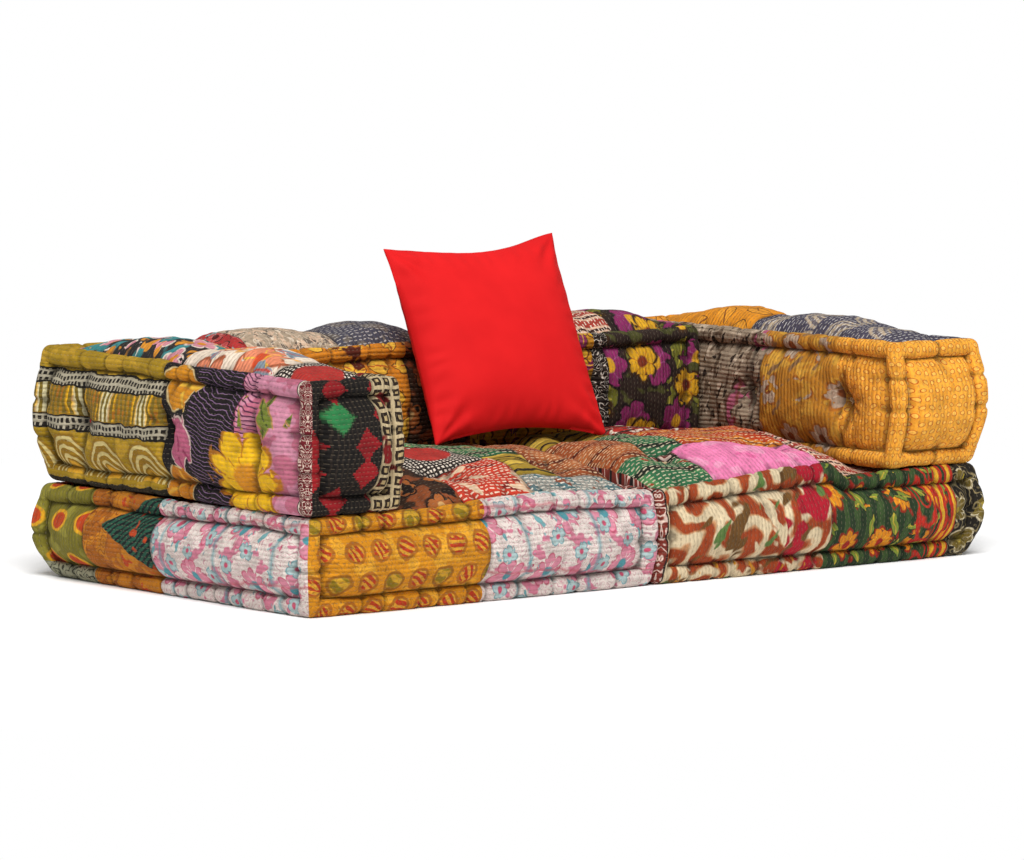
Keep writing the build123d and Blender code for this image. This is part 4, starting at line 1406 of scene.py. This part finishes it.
def add_cushion(material):
    """The red throw cushion: two cloths sewn edge to edge, leaning on the backs."""
    low, high = (np.array(corner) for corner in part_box("cushion_filling"))
    data, cube = grid_box("cushion_cover", (CUSHION_CELLS, CUSHION_CELLS))
    local = cushion_points(cube)
    across = np.array([1.0, 0.0, 0.0])
    up = np.array([0.0, math.sin(CUSHION_LEAN), math.cos(CUSHION_LEAN)])
    out = np.array([0.0, -math.cos(CUSHION_LEAN), math.sin(CUSHION_LEAN)])
    middle = (low + high) / 2 + np.array(CUSHION_SLIP)
    points = middle + local[:, :1] * across + local[:, 1:2] * up + local[:, 2:] * out
    bend(data, points)
    data.materials.append(material)
    nodes = ("cushion_filling", "cushion_front_panel", "cushion_back_panel")
    place_piece("cushion_cover", data, "cushion", "red_cotton", nodes)


# Stage
CAMERA_PLACE = Vector((-6.4798, -8.1910, 1.2392))
CAMERA_YAW = math.radians(38.29)
CAMERA_PITCH = math.radians(5.409)
LENS = 200.8
SENSOR_WIDTH = 36
# How far from the middle the floor's shadow starts to fade to plain white, and where it has gone
SHADOW_ENDS = (1.2, 2.2)
ROOM_LIGHT = 0.37
LAMP_POWER = 3.15
LAMP_WIDTH = math.radians(35)
LAMP_AIM = Vector((0.42, 0.62, -1.0))


def add_floor():
    """A pale floor that keeps the sofa's soft shadow."""
    made = bmesh.new()
    bmesh.ops.create_grid(made, x_segments=1, y_segments=1, size=30)
    data = bpy.data.meshes.new("floor")
    made.to_mesh(data)
    made.free()
    floor = bpy.data.objects.new("floor", data)
    bpy.context.scene.collection.objects.link(floor)
    # Matt white near the sofa, where the shadow falls, and plain white further off
    material, tree = new_material("pale_floor")
    near = add(tree, "BsdfDiffuse", linear("FFFFFF"))
    plain = add(tree, "Emission", linear("FFFFFF"), 1.0)
    away = add(tree, "TexCoord", out=3).to("VectorMath:LENGTH", out=1)
    surface(tree, away.to("MapRange", *SHADOW_ENDS, 0.0, 1.0).to("MixShader", near, plain))
    data.materials.append(material)
    floor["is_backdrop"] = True


def add_light():
    """A bright plain room, seen as white, and one wide soft lamp from above the front left."""
    world = bpy.data.worlds.new("room")
    bpy.context.scene.world = world
    world.use_nodes = True
    tree = world.node_tree
    tree.nodes.clear()
    room = add(tree, "Background", linear("FFFFFF"), ROOM_LIGHT)
    white = add(tree, "Background", linear("FFFFFF"), 1.0)
    shown = add(tree, "LightPath").to("MixShader", room, white)
    tree.links.new(shown.socket, tree.nodes.new("ShaderNodeOutputWorld").inputs[0])
    lamp = bpy.data.lights.new("soft_lamp", "SUN")
    lamp.angle = LAMP_WIDTH
    lamp.energy = LAMP_POWER
    light = bpy.data.objects.new("soft_lamp", lamp)
    light.rotation_euler = LAMP_AIM.to_track_quat("-Z", "Y").to_euler()
    bpy.context.scene.collection.objects.link(light)
    light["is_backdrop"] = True


def add_camera():
    """A camera with a long lens, far off at the front left, as in the photograph."""
    data = bpy.data.cameras.new("camera")
    data.lens = LENS
    data.sensor_width = SENSOR_WIDTH
    data.clip_end = 100
    camera = bpy.data.objects.new("camera", data)
    level = math.cos(CAMERA_PITCH)
    ahead = Vector((math.sin(CAMERA_YAW) * level, math.cos(CAMERA_YAW) * level, -math.sin(CAMERA_PITCH)))
    camera.location = CAMERA_PLACE
    camera.rotation_euler = ahead.to_track_quat("-Z", "Y").to_euler()
    bpy.context.scene.collection.objects.link(camera)
    bpy.context.scene.camera = camera


def main():
    """Builds the sofa, its stage and its camera."""
    materials = {
        "natural_twine": twine("natural_cotton_twine", "B8A27C"),
        "red_twine": twine("red_cotton_twine", "B01E22"),
    }
    for number, name in enumerate(BLOCKS):
        add_block(name, number + 1, materials)
    add_cushion(red_cotton())
    add_floor()
    add_light()
    add_camera()
    bpy.context.scene.view_settings.view_transform = "Standard"


main()
bpy.context.view_layer.update()
boxes = {"cad": cad_box, "shown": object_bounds()}
